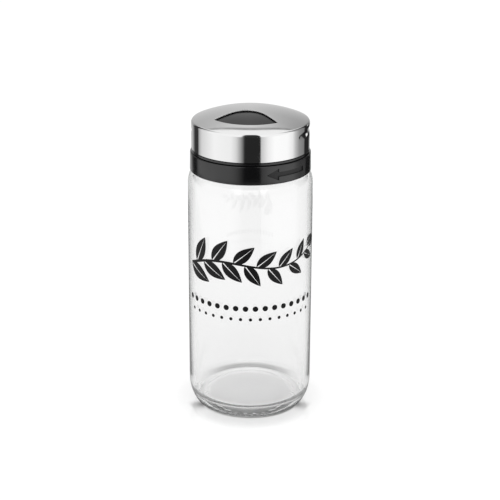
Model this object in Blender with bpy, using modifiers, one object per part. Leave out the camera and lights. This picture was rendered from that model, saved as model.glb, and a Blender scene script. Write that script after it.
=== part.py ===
"""Glass spice jar with a screw-on lid whose domed steel cap turns over a sifter.

Frame: metres, +Z up. The jar stands on z = 0 with its axis on the Z axis.
With the lid shut, the window of the steel cap faces -Y.

From the outside in, the lid is a drawn steel cap, a ring moulded to carry it,
a collar that screws on the neck of the jar, and a domed sifter plugged into the
collar. The cap and its ring turn on the collar, so that the window stands over
a blank quarter, the sprinkling holes or the pouring hole of the sifter.
"""

import math

import bmesh
import bpy

# Fits
FIT_GAP = 0.0003            # pieces that seat on each other
RUN_GAP = 0.0004            # pieces that turn past each other

# Glass jar
JAR_RADIUS = 0.0330
GLASS_WALL = 0.0026
SHOULDER_HEIGHT = 0.1317    # base to the flat face round the neck
SHOULDER_RADIUS = 0.0130    # large curve above the straight wall
SHOULDER_EDGE = 0.0012      # tight curve into the flat face
SHOULDER_TURN = 30.0        # degrees of the large curve
SHOULDER_BORE = 0.0090      # curve under the shoulder, inside
HEEL_RADIUS = 0.0210        # large curve below the straight wall
HEEL_EDGE = 0.0045          # tight curve into the bearing ring
HEEL_TURN = 34.0            # degrees of the large curve
BEARING_WIDTH = 0.0037      # flat ring that the jar stands on
PUSH_UP = 0.0005            # hollow under the middle of the base
FLOOR_THICKNESS = 0.0062
FLOOR_CORNER = 0.0054       # curve between floor and wall, inside
NECK_HEIGHT = 0.0072
NECK_ROUND = 0.0008         # rim edges and the fillet at the root of the neck
NECK_ROOT = 0.0016          # glass at the root of the neck
THREAD_DEPTH = 0.00115      # room for the thread between neck and collar

# Seal on the rim
SEAL_THICKNESS = 0.0012
SEAL_CHAMFER = 0.0003

# Collar
COLLAR_SETBACK = 0.00135    # inside the jar's wall
SKIRT_WALL = 0.0026
WEB_THICKNESS = 0.0010      # ring that presses on the seal
SEAL_POCKET = 0.0019        # height of the narrow bore round the seal
COLLAR_EDGE = 0.0005        # round at the top of the skirt
COLLAR_LEAD_IN = 0.0003     # chamfers at the foot of the skirt
TOWER_WALL = 0.0016
TOWER_ROOT = 0.0010         # chamfer where the tower meets the ledge
RIB_DEPTH = 0.0012          # snap rib that holds the turning ring down
RIB_HEIGHT = 0.0018
STOP_RISE = 0.0014          # snap rib to stop
STOP_HEIGHT = 0.0030
STOP_LUG_WIDTH = 0.0080
TURN_TRAVEL = 180.0         # degrees from shut to pouring

# Turning ring
RING_WALL = 0.0013
FLANGE_SETBACK = 0.00015    # inside the collar's wall
FLANGE_HEIGHT = 0.0012
BEAD_HEIGHT = 0.0013        # flange to the top of the snap bead
BEAD_LAND = 0.0004
SNAP_LAP = 0.0005           # hold of the bead under the rib

# Steel cap
CAP_SETBACK = 0.00065       # inside the collar's wall
STEEL = 0.0005
CAP_WALL_HEIGHT = 0.0134
CAP_EDGE = 0.0016           # curve between wall and dome
DOME_RISE = 0.0075          # top of the straight wall to the middle of the dome
WINDOW_RADIUS = 0.0223      # outer edge of the window
WINDOW_INSET = 0.0045       # axis to the inner edge of the window
WINDOW_HALF_ANGLE = 48.5
DENT_AZIMUTH = 86.0         # degrees from the window to the pressed half-moons
DENT_HALF_ANGLE = 23.0
DENT_DROP = 0.0010          # below the top of the straight wall
DENT_STEP = 0.0004          # steep upper edge of a half-moon
DENT_HEIGHT = 0.0047
DENT_DEPTH = 0.0016
DENT_END = 0.0020           # ends of a half-moon above its lower edge

# Sifter
SIFTER_DROP = 0.0010        # below the steel, so that a grain between them does not jam
SIFTER_THICKNESS = 0.0012
SIFTER_RIM = 0.0020
PLUG_WALL = 0.0012
PLUG_DEPTH = 0.0040
PLUG_BEAD = 0.00045         # snap bead round the plug
PLUG_BEAD_DROP = 0.0026
KEY_WIDTH = 0.0030          # key that stops the sifter from turning
KEY_DEPTH = 0.0012
POUR_LAP = 0.0015           # cover of the cap round the pouring hole
POUR_LAP_ANGLE = 6.0
HOLE_DIAMETER = 0.0024
HOLE_PITCH = 0.0042
HOLE_ROWS = 3
HOLE_MARGIN = 0.0024        # window edge to the outer row of holes
HOLE_LAP_ANGLE = 12.0

# Facets
FINE_STEPS = 64             # round the pieces that show
PLAIN_STEPS = 48            # round the pieces inside
ARC_STEPS = 3

# Radii, from the outside of the jar inwards
COLLAR_RADIUS = JAR_RADIUS - COLLAR_SETBACK
CAP_RADIUS = COLLAR_RADIUS - CAP_SETBACK
FLANGE_RADIUS = COLLAR_RADIUS - FLANGE_SETBACK
RING_RADIUS = CAP_RADIUS - STEEL - FIT_GAP
RING_BORE = RING_RADIUS - RING_WALL
RIB_RADIUS = RING_BORE - RUN_GAP
BEAD_RADIUS = RIB_RADIUS - SNAP_LAP
TOWER_RADIUS = RIB_RADIUS - RIB_DEPTH
TOWER_BORE = TOWER_RADIUS - TOWER_WALL
PLUG_RADIUS = TOWER_BORE - FIT_GAP
PLUG_BORE = PLUG_RADIUS - PLUG_WALL
SKIRT_BORE = COLLAR_RADIUS - SKIRT_WALL
NECK_RADIUS = SKIRT_BORE - FIT_GAP - THREAD_DEPTH
SEAL_BORE = NECK_RADIUS + FIT_GAP
MOUTH_RADIUS = NECK_RADIUS - GLASS_WALL
JAR_BORE = JAR_RADIUS - GLASS_WALL

# Heights, from the base up
RIM_Z = SHOULDER_HEIGHT + NECK_HEIGHT
SEAL_Z = RIM_Z + FIT_GAP
WEB_Z = SEAL_Z + SEAL_THICKNESS + FIT_GAP
LEDGE_Z = WEB_Z + WEB_THICKNESS
COLLAR_Z = SHOULDER_HEIGHT + FIT_GAP
FLANGE_Z = LEDGE_Z + RUN_GAP
FLANGE_TOP_Z = FLANGE_Z + FLANGE_HEIGHT
BEAD_TOP_Z = FLANGE_TOP_Z + BEAD_HEIGHT
RIB_Z = BEAD_TOP_Z + RUN_GAP
STOP_Z = RIB_Z + RIB_HEIGHT + STOP_RISE
CAP_Z = FLANGE_TOP_Z + FIT_GAP
WALL_TOP_Z = CAP_Z + CAP_WALL_HEIGHT
APEX_Z = WALL_TOP_Z + DOME_RISE
DENT_TOP_Z = WALL_TOP_Z - DENT_DROP - DENT_STEP
DENT_FOOT_Z = DENT_TOP_Z - DENT_HEIGHT

# The dome is the sphere that meets the edge curve of the cap without a corner.
EDGE_CENTRE = CAP_RADIUS - CAP_EDGE
DOME_RADIUS = (EDGE_CENTRE**2 + DOME_RISE**2 - CAP_EDGE**2) / (2 * (DOME_RISE - CAP_EDGE))
DOME_CENTRE_Z = APEX_Z - DOME_RADIUS
DOME_TURN = math.degrees(math.asin(EDGE_CENTRE / (DOME_RADIUS - CAP_EDGE)))
SIFTER_DOME = DOME_RADIUS - STEEL - SIFTER_DROP


def dome_height(sphere_radius, radius):
    """Height at a distance from the axis of a sphere about the dome's centre."""
    return DOME_CENTRE_Z + math.sqrt(sphere_radius**2 - radius**2)


SIFTER_SEAT_Z = dome_height(SIFTER_DOME, TOWER_RADIUS) - SIFTER_RIM
TOWER_TOP_Z = SIFTER_SEAT_Z - FIT_GAP
PLUG_FOOT_Z = SIFTER_SEAT_Z - PLUG_DEPTH
PLUG_BEAD_Z = SIFTER_SEAT_Z - PLUG_BEAD_DROP


def arc(radius, height, curve, start, end, steps=ARC_STEPS):
    """Profile points on an arc about (radius, height), with angles from +X towards +Z."""
    points = []
    for step in range(steps + 1):
        angle = math.radians(start + (end - start) * step / steps)
        points.append((radius + curve * math.cos(angle), height + curve * math.sin(angle)))
    return points


def dome_arc(sphere_radius, start_radius, end_radius, steps=ARC_STEPS):
    """Profile points on a sphere about the dome's centre."""
    start = math.degrees(math.acos(start_radius / sphere_radius))
    end = math.degrees(math.acos(end_radius / sphere_radius))
    points = arc(0.0, DOME_CENTRE_Z, sphere_radius, start, end, steps)
    return [(round(radius, 9), height) for radius, height in points]


def make_collection(name):
    collection = bpy.data.collections.new(name)
    bpy.context.scene.collection.children.link(collection)
    return collection


def make_material(name, colour, roughness, metallic=0.0, transmission=0.0, ior=1.5):
    material = bpy.data.materials.new(name)
    material.use_nodes = True
    shader = material.node_tree.nodes["Principled BSDF"]
    shader.inputs["Base Color"].default_value = (*colour, 1.0)
    shader.inputs["Roughness"].default_value = roughness
    shader.inputs["Metallic"].default_value = metallic
    shader.inputs["Transmission Weight"].default_value = transmission
    shader.inputs["IOR"].default_value = ior
    return material


def turned(name, profile, steps, closed=False):
    """Turn a profile about the Z axis. It runs down the outer side of the piece."""
    edges = [(index, index + 1) for index in range(len(profile) - 1)]
    if closed:
        edges.append((len(profile) - 1, 0))
    mesh = bpy.data.meshes.new(name)
    mesh.from_pydata([(radius, 0.0, height) for radius, height in profile], edges, [])
    piece = bpy.data.objects.new(name, mesh)
    screw = piece.modifiers.new("Turn", "SCREW")
    screw.steps = steps
    screw.render_steps = steps
    screw.use_merge_vertices = True
    screw.merge_threshold = 0.000001
    screw.use_smooth_shade = True
    return piece


def plain_mesh(piece, solid=False):
    """Replace an object by its evaluated mesh, with loose seams welded."""
    bpy.context.scene.collection.objects.link(piece)
    depsgraph = bpy.context.evaluated_depsgraph_get()
    mesh = bpy.data.meshes.new_from_object(piece.evaluated_get(depsgraph))
    work = bmesh.new()
    work.from_mesh(mesh)
    bmesh.ops.remove_doubles(work, verts=work.verts, dist=0.000001)
    if solid:
        bmesh.ops.recalc_face_normals(work, faces=work.faces)
    work.to_mesh(mesh)
    work.free()
    name = piece.name
    place = piece.matrix_world.copy()
    bpy.data.objects.remove(piece)
    plain = bpy.data.objects.new(name, mesh)
    plain.matrix_world = place
    return plain


def prism(name, outline, low, high):
    """Upright solid on a flat outline."""
    curve = bpy.data.curves.new(name, "CURVE")
    curve.dimensions = "2D"
    curve.fill_mode = "BOTH"
    curve.extrude = (high - low) / 2
    spline = curve.splines.new("POLY")
    spline.points.add(len(outline) - 1)
    for point, (x, y) in zip(spline.points, outline):
        point.co = (x, y, 0.0, 1.0)
    spline.use_cyclic_u = True
    solid = bpy.data.objects.new(name, curve)
    solid.location.z = (low + high) / 2
    bpy.context.view_layer.update()
    return plain_mesh(solid, solid=True)


def block(name, azimuth, near, far, width, low, high):
    """Box that lies between two distances from the axis, at an azimuth from -Y."""
    mesh = bpy.data.meshes.new(name)
    work = bmesh.new()
    bmesh.ops.create_cube(work, size=1.0)
    bmesh.ops.scale(work, verts=work.verts, vec=(width, far - near, high - low))
    bmesh.ops.translate(work, verts=work.verts, vec=(0.0, -(near + far) / 2, (low + high) / 2))
    work.to_mesh(mesh)
    work.free()
    solid = bpy.data.objects.new(name, mesh)
    solid.rotation_euler.z = math.radians(azimuth)
    return solid


def sector_outline(half_angle, inner, outer, steps):
    """Sector about the axis, open to -Y, whose inner corner is a round touching both sides."""
    half = math.radians(half_angle)
    round_radius = inner / (1 / math.sin(half) - 1)
    round_centre = inner + round_radius
    outline = []
    for step in range(steps + 1):
        angle = half - 2 * half * step / steps
        outline.append((outer * math.sin(angle), -outer * math.cos(angle)))
    for step in range(steps + 1):
        angle = (math.pi / 2 - half) * (2 * step / steps - 1)
        x = round_radius * math.sin(angle)
        outline.append((x, -round_centre + round_radius * math.cos(angle)))
    return outline


def boolean(piece, operand, operation, cutters):
    """Cut or join, with the operand kept as a guide."""
    if operand.name not in cutters.objects:
        cutters.objects.link(operand)
        operand.hide_render = True
        operand.display_type = "WIRE"
    modifier = piece.modifiers.new(operand.name, "BOOLEAN")
    modifier.operation = operation
    modifier.solver = "EXACT"
    modifier.object = operand


def glass_jar():
    """Thick-based jar with a round shoulder and a neck for the collar."""
    shoulder_edge = JAR_RADIUS - SHOULDER_RADIUS
    shoulder_edge += (SHOULDER_RADIUS - SHOULDER_EDGE) * math.cos(math.radians(SHOULDER_TURN))
    shoulder_foot = SHOULDER_HEIGHT - SHOULDER_EDGE
    shoulder_foot -= (SHOULDER_RADIUS - SHOULDER_EDGE) * math.sin(math.radians(SHOULDER_TURN))
    heel_edge = JAR_RADIUS - HEEL_RADIUS
    heel_edge += (HEEL_RADIUS - HEEL_EDGE) * math.cos(math.radians(HEEL_TURN))
    heel_top = HEEL_EDGE + (HEEL_RADIUS - HEEL_EDGE) * math.sin(math.radians(HEEL_TURN))
    bearing_bore = heel_edge - BEARING_WIDTH
    bore_centre = JAR_BORE - SHOULDER_BORE
    bore_top = math.degrees(math.acos((MOUTH_RADIUS - bore_centre) / SHOULDER_BORE))
    root_reach = SHOULDER_BORE + NECK_ROOT + NECK_ROUND
    bore_foot = SHOULDER_HEIGHT + NECK_ROUND
    bore_foot -= math.sqrt(root_reach**2 - (NECK_RADIUS + NECK_ROUND - bore_centre)**2)

    inside = [(0.0, FLOOR_THICKNESS)]
    inside += arc(JAR_BORE - FLOOR_CORNER, FLOOR_THICKNESS + FLOOR_CORNER, FLOOR_CORNER, -90, 0, 4)
    inside += arc(bore_centre, bore_foot, SHOULDER_BORE, 0, bore_top, 4)
    rim = arc(MOUTH_RADIUS + NECK_ROUND, RIM_Z - NECK_ROUND, NECK_ROUND, 180, 90, 2)
    rim += arc(NECK_RADIUS - NECK_ROUND, RIM_Z - NECK_ROUND, NECK_ROUND, 90, 0, 2)
    outside = arc(NECK_RADIUS + NECK_ROUND, SHOULDER_HEIGHT + NECK_ROUND, NECK_ROUND, 180, 270, 2)
    outside += arc(shoulder_edge, SHOULDER_HEIGHT - SHOULDER_EDGE, SHOULDER_EDGE, 90, SHOULDER_TURN, 2)
    outside += arc(JAR_RADIUS - SHOULDER_RADIUS, shoulder_foot, SHOULDER_RADIUS, SHOULDER_TURN, 0)[1:]
    outside += arc(JAR_RADIUS - HEEL_RADIUS, heel_top, HEEL_RADIUS, 0, -HEEL_TURN)
    outside += arc(heel_edge, HEEL_EDGE, HEEL_EDGE, -HEEL_TURN, -90)[1:]
    base = [(bearing_bore, 0.0), (bearing_bore / 2, PUSH_UP * 0.75), (0.0, PUSH_UP)]
    return turned("glass_jar", inside + rim + outside + base, FINE_STEPS)


def rim_seal():
    """Soft ring between the rim of the jar and the web of the collar."""
    top = SEAL_Z + SEAL_THICKNESS
    profile = [
        (MOUTH_RADIUS + SEAL_CHAMFER, top),
        (NECK_RADIUS - SEAL_CHAMFER, top),
        (NECK_RADIUS, top - SEAL_CHAMFER),
        (NECK_RADIUS, SEAL_Z + SEAL_CHAMFER),
        (NECK_RADIUS - SEAL_CHAMFER, SEAL_Z),
        (MOUTH_RADIUS + SEAL_CHAMFER, SEAL_Z),
        (MOUTH_RADIUS, SEAL_Z + SEAL_CHAMFER),
        (MOUTH_RADIUS, top - SEAL_CHAMFER),
    ]
    return turned("rim_seal", profile, PLAIN_STEPS, closed=True)


def threaded_collar(cutters):
    """Skirt round the neck, web over the seal, and tower that the cap turns on."""
    rib_top = RIB_Z + RIB_HEIGHT
    pocket = WEB_Z - SEAL_POCKET
    profile = [
        (TOWER_BORE, TOWER_TOP_Z),
        (TOWER_RADIUS, TOWER_TOP_Z),
        (TOWER_RADIUS, rib_top),
        (RIB_RADIUS, rib_top - RIB_DEPTH),
        (RIB_RADIUS, RIB_Z),
        (TOWER_RADIUS, RIB_Z),
        (TOWER_RADIUS, LEDGE_Z + TOWER_ROOT),
        (TOWER_RADIUS + TOWER_ROOT, LEDGE_Z),
    ]
    profile += arc(COLLAR_RADIUS - COLLAR_EDGE, LEDGE_Z - COLLAR_EDGE, COLLAR_EDGE, 90, 0, 2)
    profile += [
        (COLLAR_RADIUS, COLLAR_Z + COLLAR_LEAD_IN),
        (COLLAR_RADIUS - COLLAR_LEAD_IN, COLLAR_Z),
        (SKIRT_BORE + COLLAR_LEAD_IN, COLLAR_Z),
        (SKIRT_BORE, COLLAR_Z + COLLAR_LEAD_IN),
        (SKIRT_BORE, pocket - (SKIRT_BORE - SEAL_BORE)),
        (SEAL_BORE, pocket),
        (SEAL_BORE, WEB_Z),
        (TOWER_BORE, WEB_Z),
        (TOWER_BORE, PLUG_BEAD_Z - PLUG_BEAD),
        (TOWER_BORE + PLUG_BEAD, PLUG_BEAD_Z),
        (TOWER_BORE, PLUG_BEAD_Z + PLUG_BEAD),
    ]
    collar = turned("threaded_collar", profile, FINE_STEPS, closed=True)

    # The stop is a band on the tower with a gap that the lug of the ring travels in.
    lug_angle = math.degrees((STOP_LUG_WIDTH / 2 + FIT_GAP) / (TOWER_RADIUS + RUN_GAP))
    gap_outline = [(0.0, 0.0)]
    gap_half = math.radians(TURN_TRAVEL / 2 + lug_angle)
    for step in range(13):
        angle = gap_half * (step / 6 - 1)
        gap_outline.append((2 * RIB_RADIUS * math.cos(angle), 2 * RIB_RADIUS * math.sin(angle)))
    gap = prism("stop_gap", gap_outline, STOP_Z - STOP_HEIGHT, STOP_Z + 2 * STOP_HEIGHT)
    band_foot = TOWER_RADIUS - TOWER_WALL / 2
    band_profile = [
        (band_foot, STOP_Z + STOP_HEIGHT),
        (RIB_RADIUS, STOP_Z + STOP_HEIGHT),
        (RIB_RADIUS, STOP_Z),
        (band_foot, STOP_Z),
    ]
    band = turned("stop_band", band_profile, FINE_STEPS, closed=True)
    boolean(band, gap, "DIFFERENCE", cutters)
    boolean(collar, band, "UNION", cutters)

    notch_width = KEY_WIDTH + 2 * FIT_GAP
    notch = block("key_notch", 180.0, TOWER_BORE - TOWER_WALL, TOWER_RADIUS + TOWER_WALL,
                  notch_width, TOWER_TOP_Z - KEY_DEPTH, TOWER_TOP_Z + KEY_DEPTH)
    boolean(collar, notch, "DIFFERENCE", cutters)
    return collar


def sifter_plate(cutters):
    """Domed plate under the cap, with a pouring hole at +Y and small holes at -X."""
    inner_dome = SIFTER_DOME - SIFTER_THICKNESS
    profile = dome_arc(SIFTER_DOME, 0.0, TOWER_RADIUS)
    profile += [
        (TOWER_RADIUS, SIFTER_SEAT_Z),
        (PLUG_RADIUS, SIFTER_SEAT_Z),
        (PLUG_RADIUS, PLUG_BEAD_Z + PLUG_BEAD),
        (PLUG_RADIUS + PLUG_BEAD, PLUG_BEAD_Z),
        (PLUG_RADIUS, PLUG_BEAD_Z - PLUG_BEAD),
        (PLUG_RADIUS, PLUG_FOOT_Z),
        (PLUG_BORE, PLUG_FOOT_Z),
    ]
    profile += dome_arc(inner_dome, PLUG_BORE, 0.0)
    sifter = turned("sifter_plate", profile, PLAIN_STEPS)

    pour_outline = sector_outline(WINDOW_HALF_ANGLE - POUR_LAP_ANGLE, WINDOW_INSET + POUR_LAP,
                                  WINDOW_RADIUS - POUR_LAP, 10)
    pour = prism("pouring_hole", pour_outline, PLUG_FOOT_Z, APEX_Z)
    pour.rotation_euler.z = math.pi
    boolean(sifter, pour, "DIFFERENCE", cutters)

    mesh = bpy.data.meshes.new("sprinkling_holes")
    work = bmesh.new()
    reach = math.radians(WINDOW_HALF_ANGLE - HOLE_LAP_ANGLE)
    for row in range(HOLE_ROWS):
        radius = WINDOW_RADIUS - HOLE_MARGIN - row * HOLE_PITCH
        gaps = max(1, int(2 * reach * radius / HOLE_PITCH))
        for index in range(gaps + 1):
            angle = reach * (2 * index / gaps - 1)
            hole = bmesh.ops.create_cone(work, cap_ends=True, segments=10, radius1=HOLE_DIAMETER / 2,
                                         radius2=HOLE_DIAMETER / 2, depth=APEX_Z - PLUG_FOOT_Z)
            middle = (-radius * math.cos(angle), radius * math.sin(angle), (APEX_Z + PLUG_FOOT_Z) / 2)
            bmesh.ops.translate(work, verts=hole["verts"], vec=middle)
    work.to_mesh(mesh)
    work.free()
    boolean(sifter, bpy.data.objects.new("sprinkling_holes", mesh), "DIFFERENCE", cutters)

    key = block("sifter_key", 180.0, PLUG_RADIUS - PLUG_WALL / 2, TOWER_RADIUS - FIT_GAP, KEY_WIDTH,
                TOWER_TOP_Z - KEY_DEPTH + FIT_GAP, SIFTER_SEAT_Z + SIFTER_RIM / 4)
    boolean(sifter, key, "UNION", cutters)
    return sifter


def turning_ring(cutters):
    """Ring inside the cap: flange below, bead under the collar's rib, slots for the half-moons."""
    bead_foot = BEAD_TOP_Z - BEAD_LAND - (RING_BORE - BEAD_RADIUS)
    top_round = CAP_EDGE - STEEL - FIT_GAP
    top = arc(EDGE_CENTRE, WALL_TOP_Z, top_round, 45, 0)
    profile = [(RING_BORE, top[0][1])] + top + [
        (RING_RADIUS, FLANGE_TOP_Z),
        (FLANGE_RADIUS, FLANGE_TOP_Z),
        (FLANGE_RADIUS, FLANGE_Z),
        (RING_BORE, FLANGE_Z),
        (RING_BORE, bead_foot),
        (BEAD_RADIUS, BEAD_TOP_Z - BEAD_LAND),
        (BEAD_RADIUS, BEAD_TOP_Z),
        (RING_BORE, BEAD_TOP_Z),
    ]
    ring = turned("turning_ring", profile, PLAIN_STEPS, closed=True)
    slot_width = 2 * (RING_RADIUS * math.sin(math.radians(DENT_HALF_ANGLE)) + DENT_DEPTH / 2)
    slot_near = RING_BORE * math.cos(math.radians(DENT_HALF_ANGLE)) - RING_WALL
    slot_top = DENT_TOP_Z + DENT_STEP + STEEL + FIT_GAP
    for number, azimuth in enumerate((DENT_AZIMUTH, DENT_AZIMUTH + 180.0), start=1):
        slot = block(f"half_moon_slot_{number}", azimuth, slot_near, RING_RADIUS + RING_WALL,
                     slot_width, DENT_FOOT_Z - FIT_GAP, slot_top)
        boolean(ring, slot, "DIFFERENCE", cutters)
    lug = block("stop_lug", 180.0, TOWER_RADIUS + RUN_GAP, RING_BORE + RING_WALL / 2,
                STOP_LUG_WIDTH, STOP_Z, STOP_Z + STOP_HEIGHT)
    boolean(ring, lug, "UNION", cutters)
    return ring


def half_moon_rows():
    """Rows of points that shape a half-moon: height away from it and at its middle, and depth."""
    end = DENT_FOOT_Z + DENT_END
    spacing = DENT_HEIGHT / 7
    return [
        (end + spacing + DENT_STEP, DENT_TOP_Z + DENT_STEP, 0.0),
        (end + spacing, DENT_TOP_Z, DENT_DEPTH),
        (end, (DENT_FOOT_Z + DENT_TOP_Z) / 2, DENT_DEPTH / 2),
        (end - spacing, DENT_FOOT_Z, 0.0),
    ]


def press_half_moons(surface):
    """Push a half-moon into each side of the wall: deep at its upper edge, running out below."""
    half = math.radians(DENT_HALF_ANGLE)
    for vertex in surface.data.vertices:
        azimuth = math.atan2(vertex.co.x, -vertex.co.y) - math.radians(DENT_AZIMUTH)
        offset = math.remainder(azimuth, math.pi)
        if abs(offset) >= half:
            continue
        share = math.sqrt(1 - (offset / half) ** 2)
        for rest, middle, depth in half_moon_rows():
            if abs(vertex.co.z - rest) < 0.000001:
                vertex.co.x *= 1 - depth * share / CAP_RADIUS
                vertex.co.y *= 1 - depth * share / CAP_RADIUS
                vertex.co.z = rest + (middle - rest) * share
                break


def steel_cap(cutters):
    """Drawn shell with the window cut in its dome and a half-moon pressed in on each side."""
    profile = dome_arc(DOME_RADIUS, 0.0, DOME_RADIUS * math.sin(math.radians(DOME_TURN)), 4)
    profile += arc(EDGE_CENTRE, WALL_TOP_Z, CAP_EDGE, 90 - DOME_TURN, 0)[1:]
    profile += [(CAP_RADIUS, rest) for rest, middle, depth in half_moon_rows()]
    profile.append((CAP_RADIUS, CAP_Z))
    cap = plain_mesh(turned("steel_cap", profile, FINE_STEPS))
    press_half_moons(cap)
    sheet = cap.modifiers.new("Sheet", "SOLIDIFY")
    sheet.thickness = STEEL
    sheet.offset = -1.0
    sheet.use_even_offset = True
    window = prism("window", sector_outline(WINDOW_HALF_ANGLE, WINDOW_INSET, WINDOW_RADIUS, 14),
                   WALL_TOP_Z, APEX_Z + STEEL)
    boolean(cap, window, "DIFFERENCE", cutters)
    return cap


def place(piece, collection, material, carrier=None):
    """Add a piece to the jar, on the empty that carries it."""
    collection.objects.link(piece)
    piece.data.materials.append(material)
    piece.parent = carrier


def axis_empty(name, collection, carrier=None):
    """Empty on the axis of the jar that a group of pieces moves with."""
    empty = bpy.data.objects.new(name, None)
    collection.objects.link(empty)
    empty.parent = carrier
    return empty


def main():
    for old in list(bpy.data.objects):
        bpy.data.objects.remove(old)
    jar = make_collection("spice_jar")
    cutters = make_collection("cutters")

    glass = make_material("clear_glass", (0.95, 0.97, 0.96), 0.0, transmission=1.0, ior=1.52)
    silicone = make_material("silicone", (0.72, 0.72, 0.70), 0.45)
    black = make_material("black_polypropylene", (0.012, 0.012, 0.013), 0.3)
    gloss_black = make_material("black_abs", (0.010, 0.010, 0.011), 0.12)
    steel = make_material("polished_steel", (0.66, 0.66, 0.65), 0.08, metallic=1.0)

    # The lid rises as it unscrews, and the cap turns on the lid.
    lid_lift = axis_empty("lid_lift", jar)
    lid_turn = axis_empty("lid_turn", jar, lid_lift)
    cap_turn = axis_empty("cap_turn", jar, lid_turn)
    place(glass_jar(), jar, glass)
    place(rim_seal(), jar, silicone, lid_lift)
    place(threaded_collar(cutters), jar, black, lid_turn)
    place(sifter_plate(cutters), jar, gloss_black, lid_turn)
    place(turning_ring(cutters), jar, black, cap_turn)
    place(steel_cap(cutters), jar, steel, cap_turn)


main()
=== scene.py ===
"""Looks, studio and camera for a glass spice jar with a turning steel lid.

Metres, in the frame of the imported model: +Z up, the jar on z = 0, the window of the shut cap at -Y.
Azimuths are in degrees from -Y towards +X.
"""

from functools import partial
from math import acos, asin, atan2, cos, degrees, dist, pi, radians, remainder, sin, sqrt

import bmesh
import bpy
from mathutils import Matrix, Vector


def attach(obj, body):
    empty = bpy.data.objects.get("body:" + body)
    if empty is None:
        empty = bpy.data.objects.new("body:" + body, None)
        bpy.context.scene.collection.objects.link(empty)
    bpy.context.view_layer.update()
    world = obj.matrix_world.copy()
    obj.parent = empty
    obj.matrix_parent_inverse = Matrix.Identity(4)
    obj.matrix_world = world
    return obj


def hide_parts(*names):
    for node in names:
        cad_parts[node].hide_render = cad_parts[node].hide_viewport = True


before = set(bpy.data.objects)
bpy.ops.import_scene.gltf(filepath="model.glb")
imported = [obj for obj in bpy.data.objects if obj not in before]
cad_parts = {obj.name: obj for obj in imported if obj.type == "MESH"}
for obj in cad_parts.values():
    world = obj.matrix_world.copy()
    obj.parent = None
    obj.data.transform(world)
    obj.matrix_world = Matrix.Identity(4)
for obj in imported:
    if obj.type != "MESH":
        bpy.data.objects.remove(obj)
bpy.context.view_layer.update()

MM = 0.001
FIT_GAP = 0.3 * MM
RUN_GAP = 0.4 * MM
NUDGE = 0.01 * MM                   # height of a step that looks square
CRISP = radians(35)            # edges that turn more than this stay crisp

# Glass jar
INK_PROUD = 0.03 * MM               # the print stands this much out of the glass
JAR_RADIUS = 33.0 * MM - INK_PROUD
JAR_BORE = 30.4 * MM
SHOULDER_Z = 131.7 * MM
SHOULDER_ROUND = 13.0 * MM
SHOULDER_EDGE = 1.2 * MM
SHOULDER_TURN = 30.0
SHOULDER_BORE = 9.0 * MM
HEEL_ROUND = 21.0 * MM
HEEL_EDGE = 4.5 * MM
HEEL_TURN = 34.0
BEARING_WIDTH = 3.7 * MM
PUSH_UP = 0.5 * MM
FLOOR_Z = 6.2 * MM
FLOOR_CORNER = 5.4 * MM
NECK_RADIUS = 27.6 * MM
NECK_ROUND = 0.8 * MM
NECK_ROOT = 1.6 * MM
MOUTH_RADIUS = 25.0 * MM
RIM_Z = 138.9 * MM
KNURL_DEPTH = 0.08 * MM             # grooves between the bars of the bearing ring
KNURL_BARS = 96
BEAD_HEIGHT = 0.22 * MM             # round beads low on the heel, a mould's count
BEAD_ROUND = 0.75 * MM
BEAD_BAND = 7                       # degrees of the heel's curve that carry them

# Screw thread, six turns to the inch
THREAD_LEAD = 25.4 / 6 * MM
THREAD_Z = 133.4 * MM
NECK_THREAD = 1.15 * MM
COLLAR_THREAD = 1.05 * MM
THREAD_HALF = 0.85 * MM
THREAD_LAND = 0.3                   # share of the tooth that is flat on top
THREAD_RUN_OUT = 0.07               # turns over which it fades at its ends

# Seal, collar and ring
SEAL_Z = 139.2 * MM
SEAL_TOP_Z = 140.4 * MM
SEAL_ROUND = 0.3 * MM
COLLAR_RADIUS = 31.65 * MM
COLLAR_DRAFT = 0.2 * MM             # the skirt is this much wider at its foot
COLLAR_Z = 132.0 * MM
COLLAR_LEAD_IN = 0.3 * MM
LEDGE_Z = 141.7 * MM
LEDGE_ROUND = 0.5 * MM
WEB_Z = 140.7 * MM
SKIRT_BORE = 29.05 * MM
SEAL_BORE = 27.9 * MM
POCKET_Z = 138.8 * MM
TOWER_RADIUS = 27.3 * MM
TOWER_BORE = 25.7 * MM
TOWER_ROOT = 1.0 * MM
RIB_RADIUS = 28.5 * MM
RIB_Z = 145.0 * MM
RIB_TOP_Z = 146.8 * MM
STOP_Z = 148.2 * MM
STOP_TOP_Z = 151.2 * MM
STOP_LUG = 8.0 * MM
FLANGE_RADIUS = 31.1 * MM
FLANGE_Z = 142.1 * MM
FLANGE_TOP_Z = 143.3 * MM
FLANGE_ROUND = 0.2 * MM
RING_RADIUS = 30.2 * MM
RING_BORE = 28.9 * MM
BEAD_RADIUS = 28.0 * MM
BEAD_TOP_Z = 144.6 * MM
BEAD_LAND = 0.4 * MM
SLOT_REACH = 1.3 * MM               # the slots are cut this much past the ring's wall

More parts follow.
